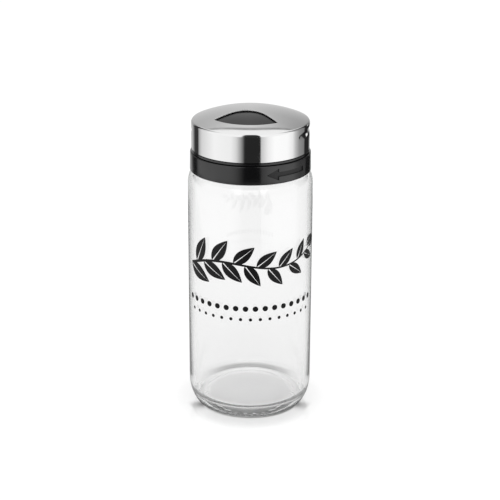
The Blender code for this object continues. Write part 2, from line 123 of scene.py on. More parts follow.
# Steel cap
STEEL = 0.5 * MM
CAP_RADIUS = 31.0 * MM
CAP_Z = 143.6 * MM
WALL_TOP_Z = 157.0 * MM
APEX_Z = 164.5 * MM
CAP_EDGE = 1.6 * MM
WINDOW_RADIUS = 22.3 * MM
WINDOW_INSET = 4.5 * MM
WINDOW_HALF_ANGLE = 48.5
WINDOW_CORNER = 0.2 * MM
WINDOW_CENTRE = 13.5 * MM           # rows of the dome spread from here, this far from the axis
CUT_ROUND = 0.06 * MM               # edges of the sheet, tumbled after stamping
DENT_AZIMUTH = 86.0
DENT_HALF_ANGLE = 23.0
DENT_STEP = 0.4 * MM
DENT_TOP_Z = 155.6 * MM
DENT_FOOT_Z = 150.9 * MM
DENT_DEPTH = 1.6 * MM
DENT_END = 2.0 * MM
EDGE_CENTRE = CAP_RADIUS - CAP_EDGE
DOME_RISE = APEX_Z - WALL_TOP_Z
DOME_RADIUS = (EDGE_CENTRE**2 + DOME_RISE**2 - CAP_EDGE**2) / (2 * (DOME_RISE - CAP_EDGE))
DOME_CENTRE_Z = APEX_Z - DOME_RADIUS
DOME_TURN = degrees(asin(EDGE_CENTRE / (DOME_RADIUS - CAP_EDGE)))
DOME_SHARES = [(step / 30) ** 1.3 for step in range(31)]

# Sifter
SIFTER_DOME = DOME_RADIUS - STEEL - RUN_GAP
SIFTER_THICKNESS = 1.2 * MM
SIFTER_SEAT_Z = DOME_CENTRE_Z + sqrt(SIFTER_DOME**2 - TOWER_RADIUS**2) - 2.0 * MM
SIFTER_LIP = 0.3 * MM
SIFTER_EDGE = 0.25 * MM
TOWER_TOP_Z = SIFTER_SEAT_Z - FIT_GAP
PLUG_RADIUS = TOWER_BORE - FIT_GAP
PLUG_BORE = PLUG_RADIUS - 1.2 * MM
PLUG_FOOT_Z = SIFTER_SEAT_Z - 4.0 * MM
PLUG_EDGE = 0.2 * MM
PLUG_BEAD = 0.45 * MM
PLUG_BEAD_Z = SIFTER_SEAT_Z - 2.6 * MM
KEY_WIDTH = 3.0 * MM
KEY_DEPTH = 1.2 * MM
POUR_LAP = 1.5 * MM
POUR_LAP_ANGLE = 6.0
POUR_CORNER = 1.0 * MM
HOLE_DIAMETER = 2.4 * MM
HOLE_PITCH = 4.2 * MM
HOLE_ROWS = 3
HOLE_MARGIN = 2.4 * MM
HOLE_REACH = WINDOW_HALF_ANGLE - 20.0
HOLE_SIDES = 28

# Arrow sunk in the collar, pointing the way the cap opens
ARROW_DEPTH = 0.4 * MM
ARROW_DRAFT = 0.15 * MM
ARROW_Z = 136.95 * MM
ARROW_TIP = 25.3
ARROW_TIP_HALF = 0.12 * MM
ARROW_NECK = 36.9
ARROW_TAIL = 68.0
ARROW_HEAD = 6.1 * MM
ARROW_SHAFT = 2.3 * MM

# Kinds of node, each with the setting that tells it apart
(TIMES, PLUS, MINUS, OVER, TIMES_PLUS, LARGER, SMALLER, ABOVE, BELOW,
 COSINE, SINE, ANGLE, ROOT, POWER, ROUND, WHOLE, SIZE, REST) = (
    ("ShaderNodeMath", {"operation": name}) for name in (
        "MULTIPLY", "ADD", "SUBTRACT", "DIVIDE", "MULTIPLY_ADD", "MAXIMUM", "MINIMUM", "GREATER_THAN",
        "LESS_THAN", "COSINE", "SINE", "ARCTAN2", "SQRT", "POWER", "ROUND", "FLOOR", "ABSOLUTE", "MODULO"))
DOT, LENGTH, SCALE, SHIFT, STRETCH = (("ShaderNodeVectorMath", {"operation": name}) for name in (
    "DOT_PRODUCT", "LENGTH", "SCALE", "ADD", "MULTIPLY"))
RANGE = "ShaderNodeMapRange"
EASE = (RANGE, {"interpolation_type": "SMOOTHSTEP"})
MIX, NOISE, RAMP = "ShaderNodeMix", "ShaderNodeTexNoise", "ShaderNodeValToRGB"
BLEND = "ShaderNodeMixShader"
SPLIT, XYZ = "ShaderNodeSeparateXYZ", "ShaderNodeCombineXYZ"
PLACE, INDEX, MOVE = "GeometryNodeInputPosition", "GeometryNodeInputIndex", "GeometryNodeSetPosition"
GRID, POINTS, JOIN = "GeometryNodeMeshGrid", "GeometryNodeMeshLine", "GeometryNodeJoinGeometry"
SCATTER, REAL = "GeometryNodeInstanceOnPoints", "GeometryNodeRealizeInstances"
WELD, FLIP = "GeometryNodeMergeByDistance", "GeometryNodeFlipFaces"
CARVE = ("GeometryNodeMeshBoolean", {"operation": "DIFFERENCE", "solver": "EXACT"})


def linear(code):
    """Linear colour of an sRGB hex code."""
    channels = [int(code[start:start + 2], 16) / 255 for start in (1, 3, 5)]
    return (*[c / 12.92 if c <= 0.04045 else ((c + 0.055) / 1.055) ** 2.4 for c in channels], 1.0)


WHITE = linear("#FFFFFF")


def fill(socket, value):
    """Give a socket a value, or link it to a node, a socket or a list of them."""
    if isinstance(value, bpy.types.Node):
        value = value.outputs[0]
    if isinstance(value, list):
        for part in value:
            fill(socket, part)
    elif isinstance(value, bpy.types.NodeSocket):
        socket.id_data.links.new(value, socket)
    elif value is not None:
        socket.default_value = value


def add_node(tree, kind, *inputs, **settings):
    """Add a node with its settings, and fill its sockets in order."""
    kind, fixed = (kind, {}) if isinstance(kind, str) else kind
    node = tree.nodes.new(kind)
    for name, value in {**fixed, **settings}.items():
        setattr(node, name, value)
    for socket, value in zip(node.inputs, inputs):
        fill(socket, value)
    return node


# Materials

NOISE_LOW, NOISE_HIGH = 0.35, 0.75  # most of a noise lies between these


def new_material(name, colour, roughness, ior=1.5, metallic=0.0):
    """Material, what adds a node to it, the sockets of its surface and the place on the piece."""
    material = bpy.data.materials.new(name)
    material.use_nodes = True
    tree = material.node_tree
    surface = tree.nodes["Principled BSDF"].inputs
    surface["Base Color"].default_value = linear(colour)
    surface["Roughness"].default_value = roughness
    surface["IOR"].default_value = ior
    surface["Metallic"].default_value = metallic
    add = partial(add_node, tree)
    return material, add, surface, add("ShaderNodeTexCoord").outputs["Object"]


def grain(add, surface, place, size, detail, mix, strength, depth):
    """Roughen a surface with noise of a size, pressed in to a depth."""
    noise = add(NOISE, place, None, 1 / size, detail, mix)
    fill(surface["Normal"], add("ShaderNodeBump", strength, depth, None, noise))


def wear(add, surface, place, size, detail, low, high):
    """Let the gloss vary between two roughnesses, in patches of a size."""
    noise = add(NOISE, place, None, 1 / size, detail, 0.6)
    fill(surface["Roughness"], add(RANGE, noise, NOISE_LOW, NOISE_HIGH, low, high))


def flint_glass():
    """Pressed and blown flint glass, fire polished: clear, slightly wavy, grey where thick, with painted shade on
    its outer skin where it is seen edge on.
    """
    material, add, surface, place = new_material("flint_glass", "#FDFDFD", 0.0, ior=1.52)
    surface["Transmission Weight"].default_value = 1.0
    grain(add, surface, place, size=22 * MM, detail=1.0, mix=0.4, strength=0.015, depth=0.15 * MM)

    # Painted shade: only the outer skin darkens towards its edge, where it is seen edge on. There the normal of
    # the mesh points away from the axis.
    level = add(STRETCH, place, (1.0, 1.0, 0.0))
    skin = add("ShaderNodeNewGeometry").outputs
    outwards = add(DOT, skin["Normal"], level).outputs["Value"]
    side = add(TIMES_PLUS, skin["Backfacing"], -2.0, 1.0)
    outer = add(ABOVE, add(TIMES, outwards, side), 0.0)
    limb = add("ShaderNodeLayerWeight", 0.5).outputs["Facing"]
    painted_limb_shade = add(TIMES, add(RANGE, limb, 0.6, 0.92), outer)
    # The tint carries the painted shade of the edge-on limb.
    tint = add(MIX, painted_limb_shade, data_type="RGBA")
    tint.inputs["A"].default_value = linear("#FDFDFD")
    tint.inputs["B"].default_value = linear("#6C706E")
    fill(surface["Base Color"], tint.outputs["Result"])

    # The underside is matt from the mould.
    height = add(SPLIT, place).outputs["Z"]
    fill(surface["Roughness"], add(EASE, height, 0.7 * MM, 1.3 * MM, 0.6, 0.0))

    depth = add("ShaderNodeVolumeAbsorption", linear("#7C8681"), 1 / (300 * MM))
    fill(material.node_tree.nodes["Material Output"].inputs["Volume"], depth)
    return material


def moulded_black(name, colour, gloss, peel, ior=1.5):
    """Injection-moulded black plastic: even colour, faint orange peel, gloss that varies with handling."""
    material, add, surface, place = new_material(name, colour, gloss, ior)
    grain(add, surface, place, size=peel * MM, detail=2.0, mix=0.5, strength=0.08, depth=0.02 * MM)
    wear(add, surface, place, size=9 * MM, detail=4.0, low=gloss * 0.85, high=gloss * 1.35)
    return material


def eroded_black():
    """The same polypropylene where the mould was spark eroded: a fine matt grain.

    Real grain is about 0.1 mm, too fine to show; it is drawn three times as coarse.
    """
    material, add, surface, place = new_material("eroded_black_polypropylene", "#0E0E0F", 0.5)
    surface["Specular IOR Level"].default_value = 0.4
    grain(add, surface, place, size=0.3 * MM, detail=2.0, mix=0.6, strength=0.5, depth=0.05 * MM)
    return material


def polished_steel():
    """Drawn stainless steel, buffed while it turns: mirror gloss with hair-fine rings round the axis.

    Real rings are some hundredths of a millimetre, too fine to show; they are drawn at 0.45 mm.
    """
    material, add, surface, place = new_material("polished_stainless_steel", "#CACACA", 0.07, metallic=1.0)
    split = add(SPLIT, place).outputs
    square_x = add(TIMES, split["X"], split["X"])
    radius = add(ROOT, add(TIMES_PLUS, split["Y"], split["Y"], square_x))
    slow = add(TIMES, add(ANGLE, split["X"], split["Y"]), 2 * MM)
    polar = add(XYZ, radius, slow, split["Z"])
    grain(add, surface, polar, size=0.45 * MM, detail=3.0, mix=0.7, strength=0.02, depth=0.02 * MM)
    wear(add, surface, place, size=7 * MM, detail=5.0, low=0.05, high=0.11)
    return material


def sheared_steel():
    """The cut edge of the sheet: torn by the punch, a dull grey with fine marks, drawn coarser than real ones."""
    material, add, surface, place = new_material("sheared_stainless_steel", "#B4B4B4", 0.6, metallic=0.4)
    grain(add, surface, place, size=0.25 * MM, detail=2.0, mix=0.6, strength=0.2, depth=0.02 * MM)
    return material


def milky_silicone():
    """Moulded silicone: milky, slightly see-through, dry to the touch."""
    material, add, surface, place = new_material("milky_silicone", "#D9D8D2", 0.45, ior=1.41)
    surface["Subsurface Weight"].default_value = 0.4
    surface["Subsurface Scale"].default_value = 0.8 * MM
    tint = add(MIX, add(NOISE, place, None, 1 / (4 * MM), 3.0, 0.5), data_type="RGBA")
    tint.inputs["A"].default_value = linear("#CFCEC8")
    tint.inputs["B"].default_value = linear("#E2E1DC")
    fill(surface["Base Color"], tint.outputs["Result"])
    return material


def printed_enamel():
    """Black ceramic ink, screen printed and fired: even, deep black, with the mesh of the screen in it.

    Real mesh is about 0.1 mm, too fine to show; it is drawn four times as coarse.
    """
    material, add, surface, place = new_material("black_enamel_ink", "#0A0A0B", 0.35)
    surface["Specular IOR Level"].default_value = 0.2
    grain(add, surface, place, size=0.4 * MM, detail=2.0, mix=0.5, strength=0.15, depth=0.02 * MM)
    return material


# Meshes

def plain_piece(name, data, material=None):
    """Put a mesh, a lamp or a camera in the scene."""
    piece = bpy.data.objects.new(name, data)
    bpy.context.scene.collection.objects.link(piece)
    if material:
        data.materials.append(material)
    return piece


def worked_piece(name, work, material=None):
    """Piece from a worked mesh, with its faces turned outwards."""
    bmesh.ops.recalc_face_normals(work, faces=work.faces)
    mesh = bpy.data.meshes.new(name)
    work.to_mesh(mesh)
    work.free()
    return plain_piece(name, mesh, material)


def evaluated(piece):
    """Replace an object that has modifiers by its plain mesh."""
    depsgraph = bpy.context.evaluated_depsgraph_get()
    mesh = bpy.data.meshes.new_from_object(piece.evaluated_get(depsgraph))
    name = piece.name
    bpy.data.objects.remove(piece)
    return plain_piece(name, mesh)


def new_group(name, source, counts, sizes, result):
    """Node tree with its named inputs: a mesh, counts, sizes and a finish. Also what adds a node to it."""
    tree = bpy.data.node_groups.new(name, "GeometryNodeTree")
    kinds = {"Geometry": [source], "Int": counts, "Float": sizes, "Material": ["Finish"]}
    for kind, sockets in kinds.items():
        for socket in sockets:
            tree.interface.new_socket(socket, in_out="INPUT", socket_type="NodeSocket" + kind)
    tree.interface.new_socket(result, in_out="OUTPUT", socket_type="NodeSocketGeometry")
    add = partial(add_node, tree)
    return tree, add, add("NodeGroupInput").outputs


def end_group(add, body, finish):
    """End a node tree with plain geometry in its finish."""
    add("NodeGroupOutput", add("GeometryNodeSetMaterial", add(REAL, body), None, finish))


def grow(name, mesh, tree, **sizes):
    """Run a node tree on a mesh, with its named inputs, and keep the result as a plain piece."""
    piece = plain_piece(name, mesh)
    modifier = piece.modifiers.new(tree.name, "NODES")
    modifier.node_group = tree
    for item in tree.interface.items_tree:
        key = item.name.lower().replace(" ", "_")
        if item.in_out == "INPUT" and key in sizes:
            modifier[item.identifier] = sizes[key]
    return evaluated(piece)


def arc(radius, height, curve, start, end, steps):
    """Profile points on an arc about (radius, height), with angles from +X towards +Z."""
    turns = [radians(start + (end - start) * step / steps) for step in range(steps + 1)]
    return [(radius + curve * cos(turn), height + curve * sin(turn)) for turn in turns]


def line(start, end, steps):
    """Profile points on a straight line, both ends included."""
    return [(start[0] + (end[0] - start[0]) * step / steps, start[1] + (end[1] - start[1]) * step / steps)
            for step in range(steps + 1)]


def relief(points, **values):
    """Mark profile points with the relief that they take when they are turned."""
    return [(point[0], point[1], values) for point in points]


RELIEFS = ("thread_out", "knurl_up", "bead_out", "arc_centre", "arc_half", "arc_out", "arc_up")
NO_RELIEF = {"thread_lead": THREAD_LEAD, "bead_spacing": 1.0, "bead_half": 1.0}


def turned_piece(name, profile, tree, **sizes):
    """Turn a profile, whose points carry their relief as attributes."""
    mesh = bpy.data.meshes.new(name)
    mesh.from_pydata([(point[0], 0.0, point[1]) for point in profile], [], [])
    for key in RELIEFS:
        values = [point[2].get(key, 0.0) if len(point) > 2 else 0.0 for point in profile]
        mesh.attributes.new(key, "FLOAT", "POINT").data.foreach_set("value", values)
    return grow(name, mesh, tree, **sizes)


def on_circle(add, radius, angle, height):
    """Place at an angle about the axis, from +X towards +Y."""
    across, beside = (add(TIMES, radius, add(wave, angle)) for wave in (COSINE, SINE))
    return add(XYZ, across, beside, height)


def turned_tree():
    """Turn a profile about the axis, with thread, knurl, beads and raised or sunk arcs."""
    tree, add, given = new_group("turned_body", "Profile", ("Steps", "Knurl Bars", "Bead Count"), (
        "Thread Start", "Thread Lead", "Thread Turns", "Thread Half", "Bead First", "Bead Spacing",
        "Bead Half"), "Body")

    # A flat grid has one column for each step and one row for each point of the profile.
    size = add("GeometryNodeAttributeDomainSize", given["Profile"], component="MESH").outputs["Point Count"]
    grid = add(GRID, 1.0, 1.0, add(PLUS, given["Steps"], 1.0), size)
    flat = add(SPLIT, add(PLACE)).outputs
    share = add(PLUS, flat["X"], 0.5)
    turn = add(TIMES, share, -1.0)
    angle = add(TIMES, share, -2 * pi)
    row = add(TIMES, add(PLUS, flat["Y"], 0.5), add(MINUS, size, 1.0))
    index = add(ROUND, row)
    sample = "GeometryNodeSampleIndex"
    point = add(sample, given["Profile"], add(PLACE), index, data_type="FLOAT_VECTOR", domain="POINT")
    marks = {}
    for key in RELIEFS:
        mark = add("GeometryNodeInputNamedAttribute", key, data_type="FLOAT")
        marks[key] = add(sample, given["Profile"], mark, index, data_type="FLOAT", domain="POINT")
    place = add(SPLIT, point).outputs
    radius, height = place["X"], place["Z"]

    # Thread: distance along the axis to the nearest turn of a right-handed helix, run out at both ends.
    rise = add(MINUS, height, given["Thread Start"])
    wound = add(MINUS, add(OVER, rise, given["Thread Lead"]), turn)
    nearest = add(ROUND, wound)
    span = add(TIMES, add(MINUS, wound, nearest), given["Thread Lead"])
    land = add(TIMES, given["Thread Half"], THREAD_LAND)
    thread = add(EASE, add(SIZE, span), given["Thread Half"], land)
    turns = add(PLUS, turn, nearest)
    left = add(MINUS, given["Thread Turns"], turns)
    run_in, run_out = (add(EASE, end, 0.0, THREAD_RUN_OUT) for end in (turns, left))
    thread = add(TIMES, thread, add(TIMES, run_in, run_out))
    thread = add(TIMES, thread, marks["thread_out"])

    # Knurl: bars on the bearing ring.
    swing = add(COSINE, add(TIMES, angle, given["Knurl Bars"]))
    knurl = add(TIMES, add(EASE, swing, -0.5, 0.5, 1.0, 0.0), marks["knurl_up"])

    # Beads: a row of round bumps.
    spaces = add(OVER, add(MINUS, angle, given["Bead First"]), given["Bead Spacing"])
    bead_low = add(LARGER, add(ROUND, spaces), 0.0)
    bead_index = add(SMALLER, bead_low, add(MINUS, given["Bead Count"], 1.0))
    bead_angle = add(TIMES, add(MINUS, spaces, bead_index), given["Bead Spacing"])
    bead_share = add(OVER, bead_angle, given["Bead Half"])
    bead_square = add(TIMES, bead_share, bead_share)
    bead = add(TIMES, add(MINUS, 1.0, bead_square, use_clamp=True), marks["bead_out"])

    # Arcs: part of the way round, out from the axis or up.
    facing = add(COSINE, add(MINUS, angle, marks["arc_centre"]))
    inside = add(ABOVE, facing, add(COSINE, marks["arc_half"]))
    arc_out, arc_up = (add(TIMES, inside, marks[key]) for key in ("arc_out", "arc_up"))

    for part in (thread, bead, arc_out):
        radius = add(PLUS, radius, part)
    for part in (knurl, arc_up):
        height = add(PLUS, height, part)
    body = add(MOVE, grid, None, on_circle(add, radius, angle, height))
    welded = add(WELD, body, None, 0.5e-6)
    end_group(add, add("GeometryNodeSetShadeSmooth", welded), given["Finish"])
    return tree


def at(azimuth, radius, height):
    """Point at an azimuth in radians."""
    return radius * sin(azimuth), -radius * cos(azimuth), height


def rows_mesh(name, rows, material, cut_edge=None):
    """Closed shell from rows of points round a hole, each joined to the next and the last to the first.

    The band after the first row may have a finish of its own, where a sheet is cut.
    """
    count = len(rows[0])
    work = bmesh.new()
    verts = [[work.verts.new(point) for point in row] for row in rows]
    for number, (row, following) in enumerate(zip(verts, verts[1:] + verts[:1])):
        for column in range(count):
            beside = (column + 1) % count
            face = work.faces.new((row[column], row[beside], following[beside], following[column]))
            face.smooth = True
            face.material_index = 1 if cut_edge and number == 0 else 0
    piece = worked_piece(name, work, material)
    if cut_edge:
        piece.data.materials.append(cut_edge)
    return piece


def cut(piece, cutters):
    """Cut solids out of a piece, remove them and keep the edges crisp."""
    for cutter in cutters:
        modifier = piece.modifiers.new(cutter.name, "BOOLEAN")
        modifier.operation = "DIFFERENCE"
        modifier.solver = "EXACT"
        modifier.object = cutter
        modifier.material_mode = "TRANSFER"
    piece = evaluated(piece)
    for cutter in cutters:
        bpy.data.objects.remove(cutter)
    piece.data.set_sharp_from_angle(angle=CRISP)
    return piece


def upright_block(name, azimuth, near, far, width, low, high):
    """Upright block between two distances from the axis."""
    work = bmesh.new()
    bmesh.ops.create_cube(work, size=1.0)
    turn = radians(azimuth)
    for vert in work.verts:
        side = vert.co.x * width
        out = (near + far) / 2 + vert.co.y * (far - near)
        vert.co = (side * cos(turn) + out * sin(turn), side * sin(turn) - out * cos(turn),
                   (low + high) / 2 + vert.co.z * (high - low))
    return worked_piece(name, work)


def wrapped_bar(name, stations, near, far, material):
    """Solid that follows the collar's wall, wider outside. A station is an azimuth, a low and a high edge."""
    work = bmesh.new()
    loops = []
    for azimuth, low, high in stations:
        corners = ((near, low), (near, high), (far, high + ARROW_DRAFT), (far, low - ARROW_DRAFT))
        loops.append([work.verts.new(at(radians(azimuth), *corner)) for corner in corners])
    for loop, following in zip(loops, loops[1:]):
        for side in range(4):
            beside = (side + 1) % 4
            work.faces.new((loop[side], loop[beside], following[beside], following[side]))
    work.faces.new(loops[0])
    work.faces.new(loops[-1])
    return worked_piece(name, work, material)


# Pieces

def glass_jar(turned, glass):
    """Jar with its thread on the neck, a knurled bearing ring and mould beads low on the heel."""
    shoulder_turn, heel_turn = radians(SHOULDER_TURN), radians(HEEL_TURN)
    shoulder_centre, heel_centre = JAR_RADIUS - SHOULDER_ROUND, JAR_RADIUS - HEEL_ROUND
    shoulder_edge = shoulder_centre + (SHOULDER_ROUND - SHOULDER_EDGE) * cos(shoulder_turn)
    shoulder_foot = SHOULDER_Z - SHOULDER_EDGE - (SHOULDER_ROUND - SHOULDER_EDGE) * sin(shoulder_turn)
    heel_edge = heel_centre + (HEEL_ROUND - HEEL_EDGE) * cos(heel_turn)
    heel_top = HEEL_EDGE + (HEEL_ROUND - HEEL_EDGE) * sin(heel_turn)
    bearing_bore = heel_edge - BEARING_WIDTH
    bore_centre = JAR_BORE - SHOULDER_BORE
    bore_top = degrees(acos((MOUTH_RADIUS - bore_centre) / SHOULDER_BORE))
    root_reach = SHOULDER_BORE + NECK_ROOT + NECK_ROUND
    root_drop = sqrt(root_reach**2 - (NECK_RADIUS + NECK_ROUND - bore_centre)**2)
    corner = JAR_BORE - FLOOR_CORNER
    thread_gap, wall_gap = 0.1 * MM, 1 * MM

    profile = line((0.0, FLOOR_Z), (corner, FLOOR_Z), 3)[:-1]
    profile += arc(corner, FLOOR_Z + FLOOR_CORNER, FLOOR_CORNER, -90, 0, 14)
    profile += arc(bore_centre, SHOULDER_Z + NECK_ROUND - root_drop, SHOULDER_BORE, 0, bore_top, 16)
    profile += arc(MOUTH_RADIUS + NECK_ROUND, RIM_Z - NECK_ROUND, NECK_ROUND, 180, 90, 5)
    profile += arc(NECK_RADIUS - NECK_ROUND, RIM_Z - NECK_ROUND, NECK_ROUND, 90, 0, 5)
    profile += relief(line((NECK_RADIUS, RIM_Z - NECK_ROUND - thread_gap),
                           (NECK_RADIUS, SHOULDER_Z + NECK_ROUND + thread_gap), 30), thread_out=NECK_THREAD)
    profile += arc(NECK_RADIUS + NECK_ROUND, SHOULDER_Z + NECK_ROUND, NECK_ROUND, 180, 270, 4)
    profile += arc(shoulder_edge, SHOULDER_Z - SHOULDER_EDGE, SHOULDER_EDGE, 90, SHOULDER_TURN, 6)
    profile += arc(shoulder_centre, shoulder_foot, SHOULDER_ROUND, SHOULDER_TURN, 0, 10)[1:]
    profile += line((JAR_RADIUS, shoulder_foot - wall_gap), (JAR_RADIUS, heel_top + wall_gap), 2)
    profile += arc(heel_centre, heel_top, HEEL_ROUND, 0, -HEEL_TURN + BEAD_BAND + 1, 8)
    heel = arc(heel_centre, heel_top, HEEL_ROUND, -HEEL_TURN + BEAD_BAND, -HEEL_TURN, 10)
    for point in heel:
        share = 1 - (dist(point, heel[5]) / BEAD_ROUND) ** 2
        profile += relief([point], bead_out=BEAD_HEIGHT * max(0.0, share))
    profile += arc(heel_edge, HEEL_EDGE, HEEL_EDGE, -HEEL_TURN, -90, 10)[1:]
    for radius, height in line((heel_edge, 0.0), (bearing_bore, 0.0), 10)[1:]:
        share = (radius - bearing_bore) / BEARING_WIDTH
        profile += relief([(radius, height)], knurl_up=KNURL_DEPTH * sin(pi * share) ** 0.5)
    for step in range(1, 25):
        radius = bearing_bore * (1 - step / 24)
        profile.append((radius, PUSH_UP * (1 + cos(pi * radius / bearing_bore)) / 2))
    return turned_piece("glass_jar_clear", profile, turned, steps=576, knurl_bars=KNURL_BARS, bead_count=9,
                        bead_first=radians(-112), bead_half=0.026, bead_spacing=radians(5.6),
                        thread_start=THREAD_Z, thread_lead=THREAD_LEAD, thread_turns=0.88,
                        thread_half=THREAD_HALF, finish=glass)


def rim_seal(turned, silicone):
    """Soft ring with rounded edges between rim and collar."""
    outer, inner = NECK_RADIUS - SEAL_ROUND, MOUTH_RADIUS + SEAL_ROUND
    top, foot = SEAL_TOP_Z - SEAL_ROUND, SEAL_Z + SEAL_ROUND
    profile = []
    for radius, height, start in ((outer, top, 90), (outer, foot, 0), (inner, foot, 270), (inner, top, 180)):
        profile += arc(radius, height, SEAL_ROUND, start, start - 90, 4)
    return turned_piece("rim_seal_silicone", profile + profile[:1], turned, steps=160, finish=silicone,
                        **NO_RELIEF)


def threaded_collar(turned, black, eroded):
    """Collar with its inner thread, stop band and key notch, and the arrow sunk in its wall."""
    notch = {"arc_centre": radians(90), "arc_half": (KEY_WIDTH / 2 + FIT_GAP) / TOWER_BORE,
             "arc_up": -KEY_DEPTH}
    lug_angle = (STOP_LUG / 2 + FIT_GAP) / (TOWER_RADIUS + RUN_GAP)
    stop = {"arc_centre": pi, "arc_half": pi / 2 - lug_angle, "arc_out": RIB_RADIUS - TOWER_RADIUS}
    pocket_foot = POCKET_Z - (SKIRT_BORE - SEAL_BORE)
    thread_gap = 0.05 * MM
    profile = relief([(TOWER_BORE, TOWER_TOP_Z), (TOWER_RADIUS, TOWER_TOP_Z)], **notch)
    profile.append((TOWER_RADIUS, STOP_TOP_Z + NUDGE))
    profile += relief([(TOWER_RADIUS, STOP_TOP_Z), (TOWER_RADIUS, STOP_Z)], **stop)
    profile += [
        (TOWER_RADIUS, STOP_Z - NUDGE),
        (TOWER_RADIUS, RIB_TOP_Z),
        (RIB_RADIUS, RIB_TOP_Z - (RIB_RADIUS - TOWER_RADIUS)),
        (RIB_RADIUS, RIB_Z),
        (TOWER_RADIUS, RIB_Z),
    ]
    profile += arc(TOWER_RADIUS + TOWER_ROOT, LEDGE_Z + TOWER_ROOT, TOWER_ROOT, 180, 270, 5)
    profile += arc(COLLAR_RADIUS - LEDGE_ROUND, LEDGE_Z - LEDGE_ROUND, LEDGE_ROUND, 90, 0, 6)
    profile += arc(COLLAR_RADIUS + COLLAR_DRAFT - COLLAR_LEAD_IN, COLLAR_Z + COLLAR_LEAD_IN, COLLAR_LEAD_IN,
                   0, -90, 4)
    profile.append((SKIRT_BORE + COLLAR_LEAD_IN, COLLAR_Z))
    bore = line((SKIRT_BORE, COLLAR_Z + COLLAR_LEAD_IN), (SKIRT_BORE, pocket_foot - thread_gap), 30)
    profile += relief(bore, thread_out=-COLLAR_THREAD)
    profile += [
        (SKIRT_BORE, pocket_foot),
        (SEAL_BORE, POCKET_Z),
        (SEAL_BORE, WEB_Z),
        (TOWER_BORE, WEB_Z),
        (TOWER_BORE, PLUG_BEAD_Z - PLUG_BEAD),
        (TOWER_BORE + PLUG_BEAD, PLUG_BEAD_Z),
        (TOWER_BORE, PLUG_BEAD_Z + PLUG_BEAD),
    ]
    collar = turned_piece("threaded_collar_black", profile + profile[:1], turned, steps=320,
                          thread_start=THREAD_Z - THREAD_LEAD / 2, thread_turns=1.36,
                          thread_half=THREAD_HALF * 0.9, finish=black, **NO_RELIEF)

    head = []
    for step in range(13):
        half = ARROW_TIP_HALF + (ARROW_HEAD / 2 - ARROW_TIP_HALF) * step / 12
        head.append((ARROW_TIP + (ARROW_NECK - ARROW_TIP) * step / 12, ARROW_Z - half, ARROW_Z + half))
    shaft = []
    for step in range(31):
        azimuth = ARROW_NECK - 1.0 + (ARROW_TAIL - ARROW_NECK + 1.0) * step / 30
        shaft.append((azimuth, ARROW_Z - ARROW_SHAFT / 2, ARROW_Z + ARROW_SHAFT / 2))
    near, far = COLLAR_RADIUS - ARROW_DEPTH, COLLAR_RADIUS + ARROW_DEPTH
    return cut(collar, [wrapped_bar(name, stations, near, far, eroded)
                        for name, stations in (("arrow_head", head), ("arrow_shaft", shaft))])


def turning_ring(turned, black):
    """Ring inside the cap, with its flange, snap bead, stop lug and slots for the half-moons."""
    lug = {"arc_centre": radians(90), "arc_half": STOP_LUG / 2 / RING_BORE,
           "arc_out": TOWER_RADIUS + RUN_GAP - RING_BORE}
    top = arc(EDGE_CENTRE, WALL_TOP_Z, CAP_EDGE - STEEL - FIT_GAP, 45, 0, 6)
    flange = FLANGE_RADIUS - FLANGE_ROUND
    profile = [(RING_BORE, top[0][1])] + top
    profile.append((RING_RADIUS, FLANGE_TOP_Z))
    profile += arc(flange, FLANGE_TOP_Z - FLANGE_ROUND, FLANGE_ROUND, 90, 0, 4)
    profile += arc(flange, FLANGE_Z + FLANGE_ROUND, FLANGE_ROUND, 0, -90, 4)
    profile += [
        (RING_BORE, FLANGE_Z),
        (RING_BORE, BEAD_TOP_Z - BEAD_LAND - (RING_BORE - BEAD_RADIUS)),
        (BEAD_RADIUS, BEAD_TOP_Z - BEAD_LAND),
        (BEAD_RADIUS, BEAD_TOP_Z),
        (RING_BORE, BEAD_TOP_Z),
        (RING_BORE, STOP_Z - NUDGE),
    ]
    profile += relief([(RING_BORE, STOP_Z), (RING_BORE, STOP_TOP_Z)], **lug)
    profile.append((RING_BORE, STOP_TOP_Z + NUDGE))
    ring = turned_piece("turning_ring_black", profile + profile[:1], turned, steps=240, finish=black,
                        **NO_RELIEF)
    half = radians(DENT_HALF_ANGLE)
    width = 2 * (RING_RADIUS * sin(half) + DENT_DEPTH / 2)
    near, far = RING_BORE * cos(half) - SLOT_REACH, RING_RADIUS + SLOT_REACH
    return cut(ring, [upright_block(f"half_moon_slot_{side}", DENT_AZIMUTH + 180 * side, near, far, width,
                                    DENT_FOOT_Z - FIT_GAP, DENT_TOP_Z + DENT_STEP + STEEL + FIT_GAP)
                      for side in (0, 1)])


def sector_outline(half_angle, inner, outer, corner, away):
    """Rounded sector open to -Y, or to +Y if away is -1, as points that go round it."""
    half = radians(half_angle)
    square = pi / 2
    hub = inner / (1 / sin(half) - 1)
    hub_y = inner + hub
    rim = half - asin(corner / (outer - corner))
    points = []

    def sweep(x, y, radius, start, end, steps):
        for step in range(steps):
            turn = start + (end - start) * step / steps
            points.append((x + radius * sin(turn), y + radius * cos(turn)))

    knee_x, knee_y = (outer - corner) * sin(rim), (outer - corner) * cos(rim)
    start = (knee_x + corner * cos(half), knee_y - corner * sin(half))
    end = (hub * cos(half), hub_y - hub * sin(half))
    sweep(0.0, 0.0, outer, -rim, rim, 110)
    sweep(knee_x, knee_y, corner, rim, half + square, 14)
    points += line(start, end, 36)[:-1]
    sweep(0.0, hub_y, hub, half + square, 3 * pi / 2 - half, 64)
    points += [(-x, y) for x, y in line(end, start, 36)[:-1]]
    sweep(-knee_x, knee_y, corner, -half - square, -rim, 14)
    return [(x, -y * away) for x, y in points]


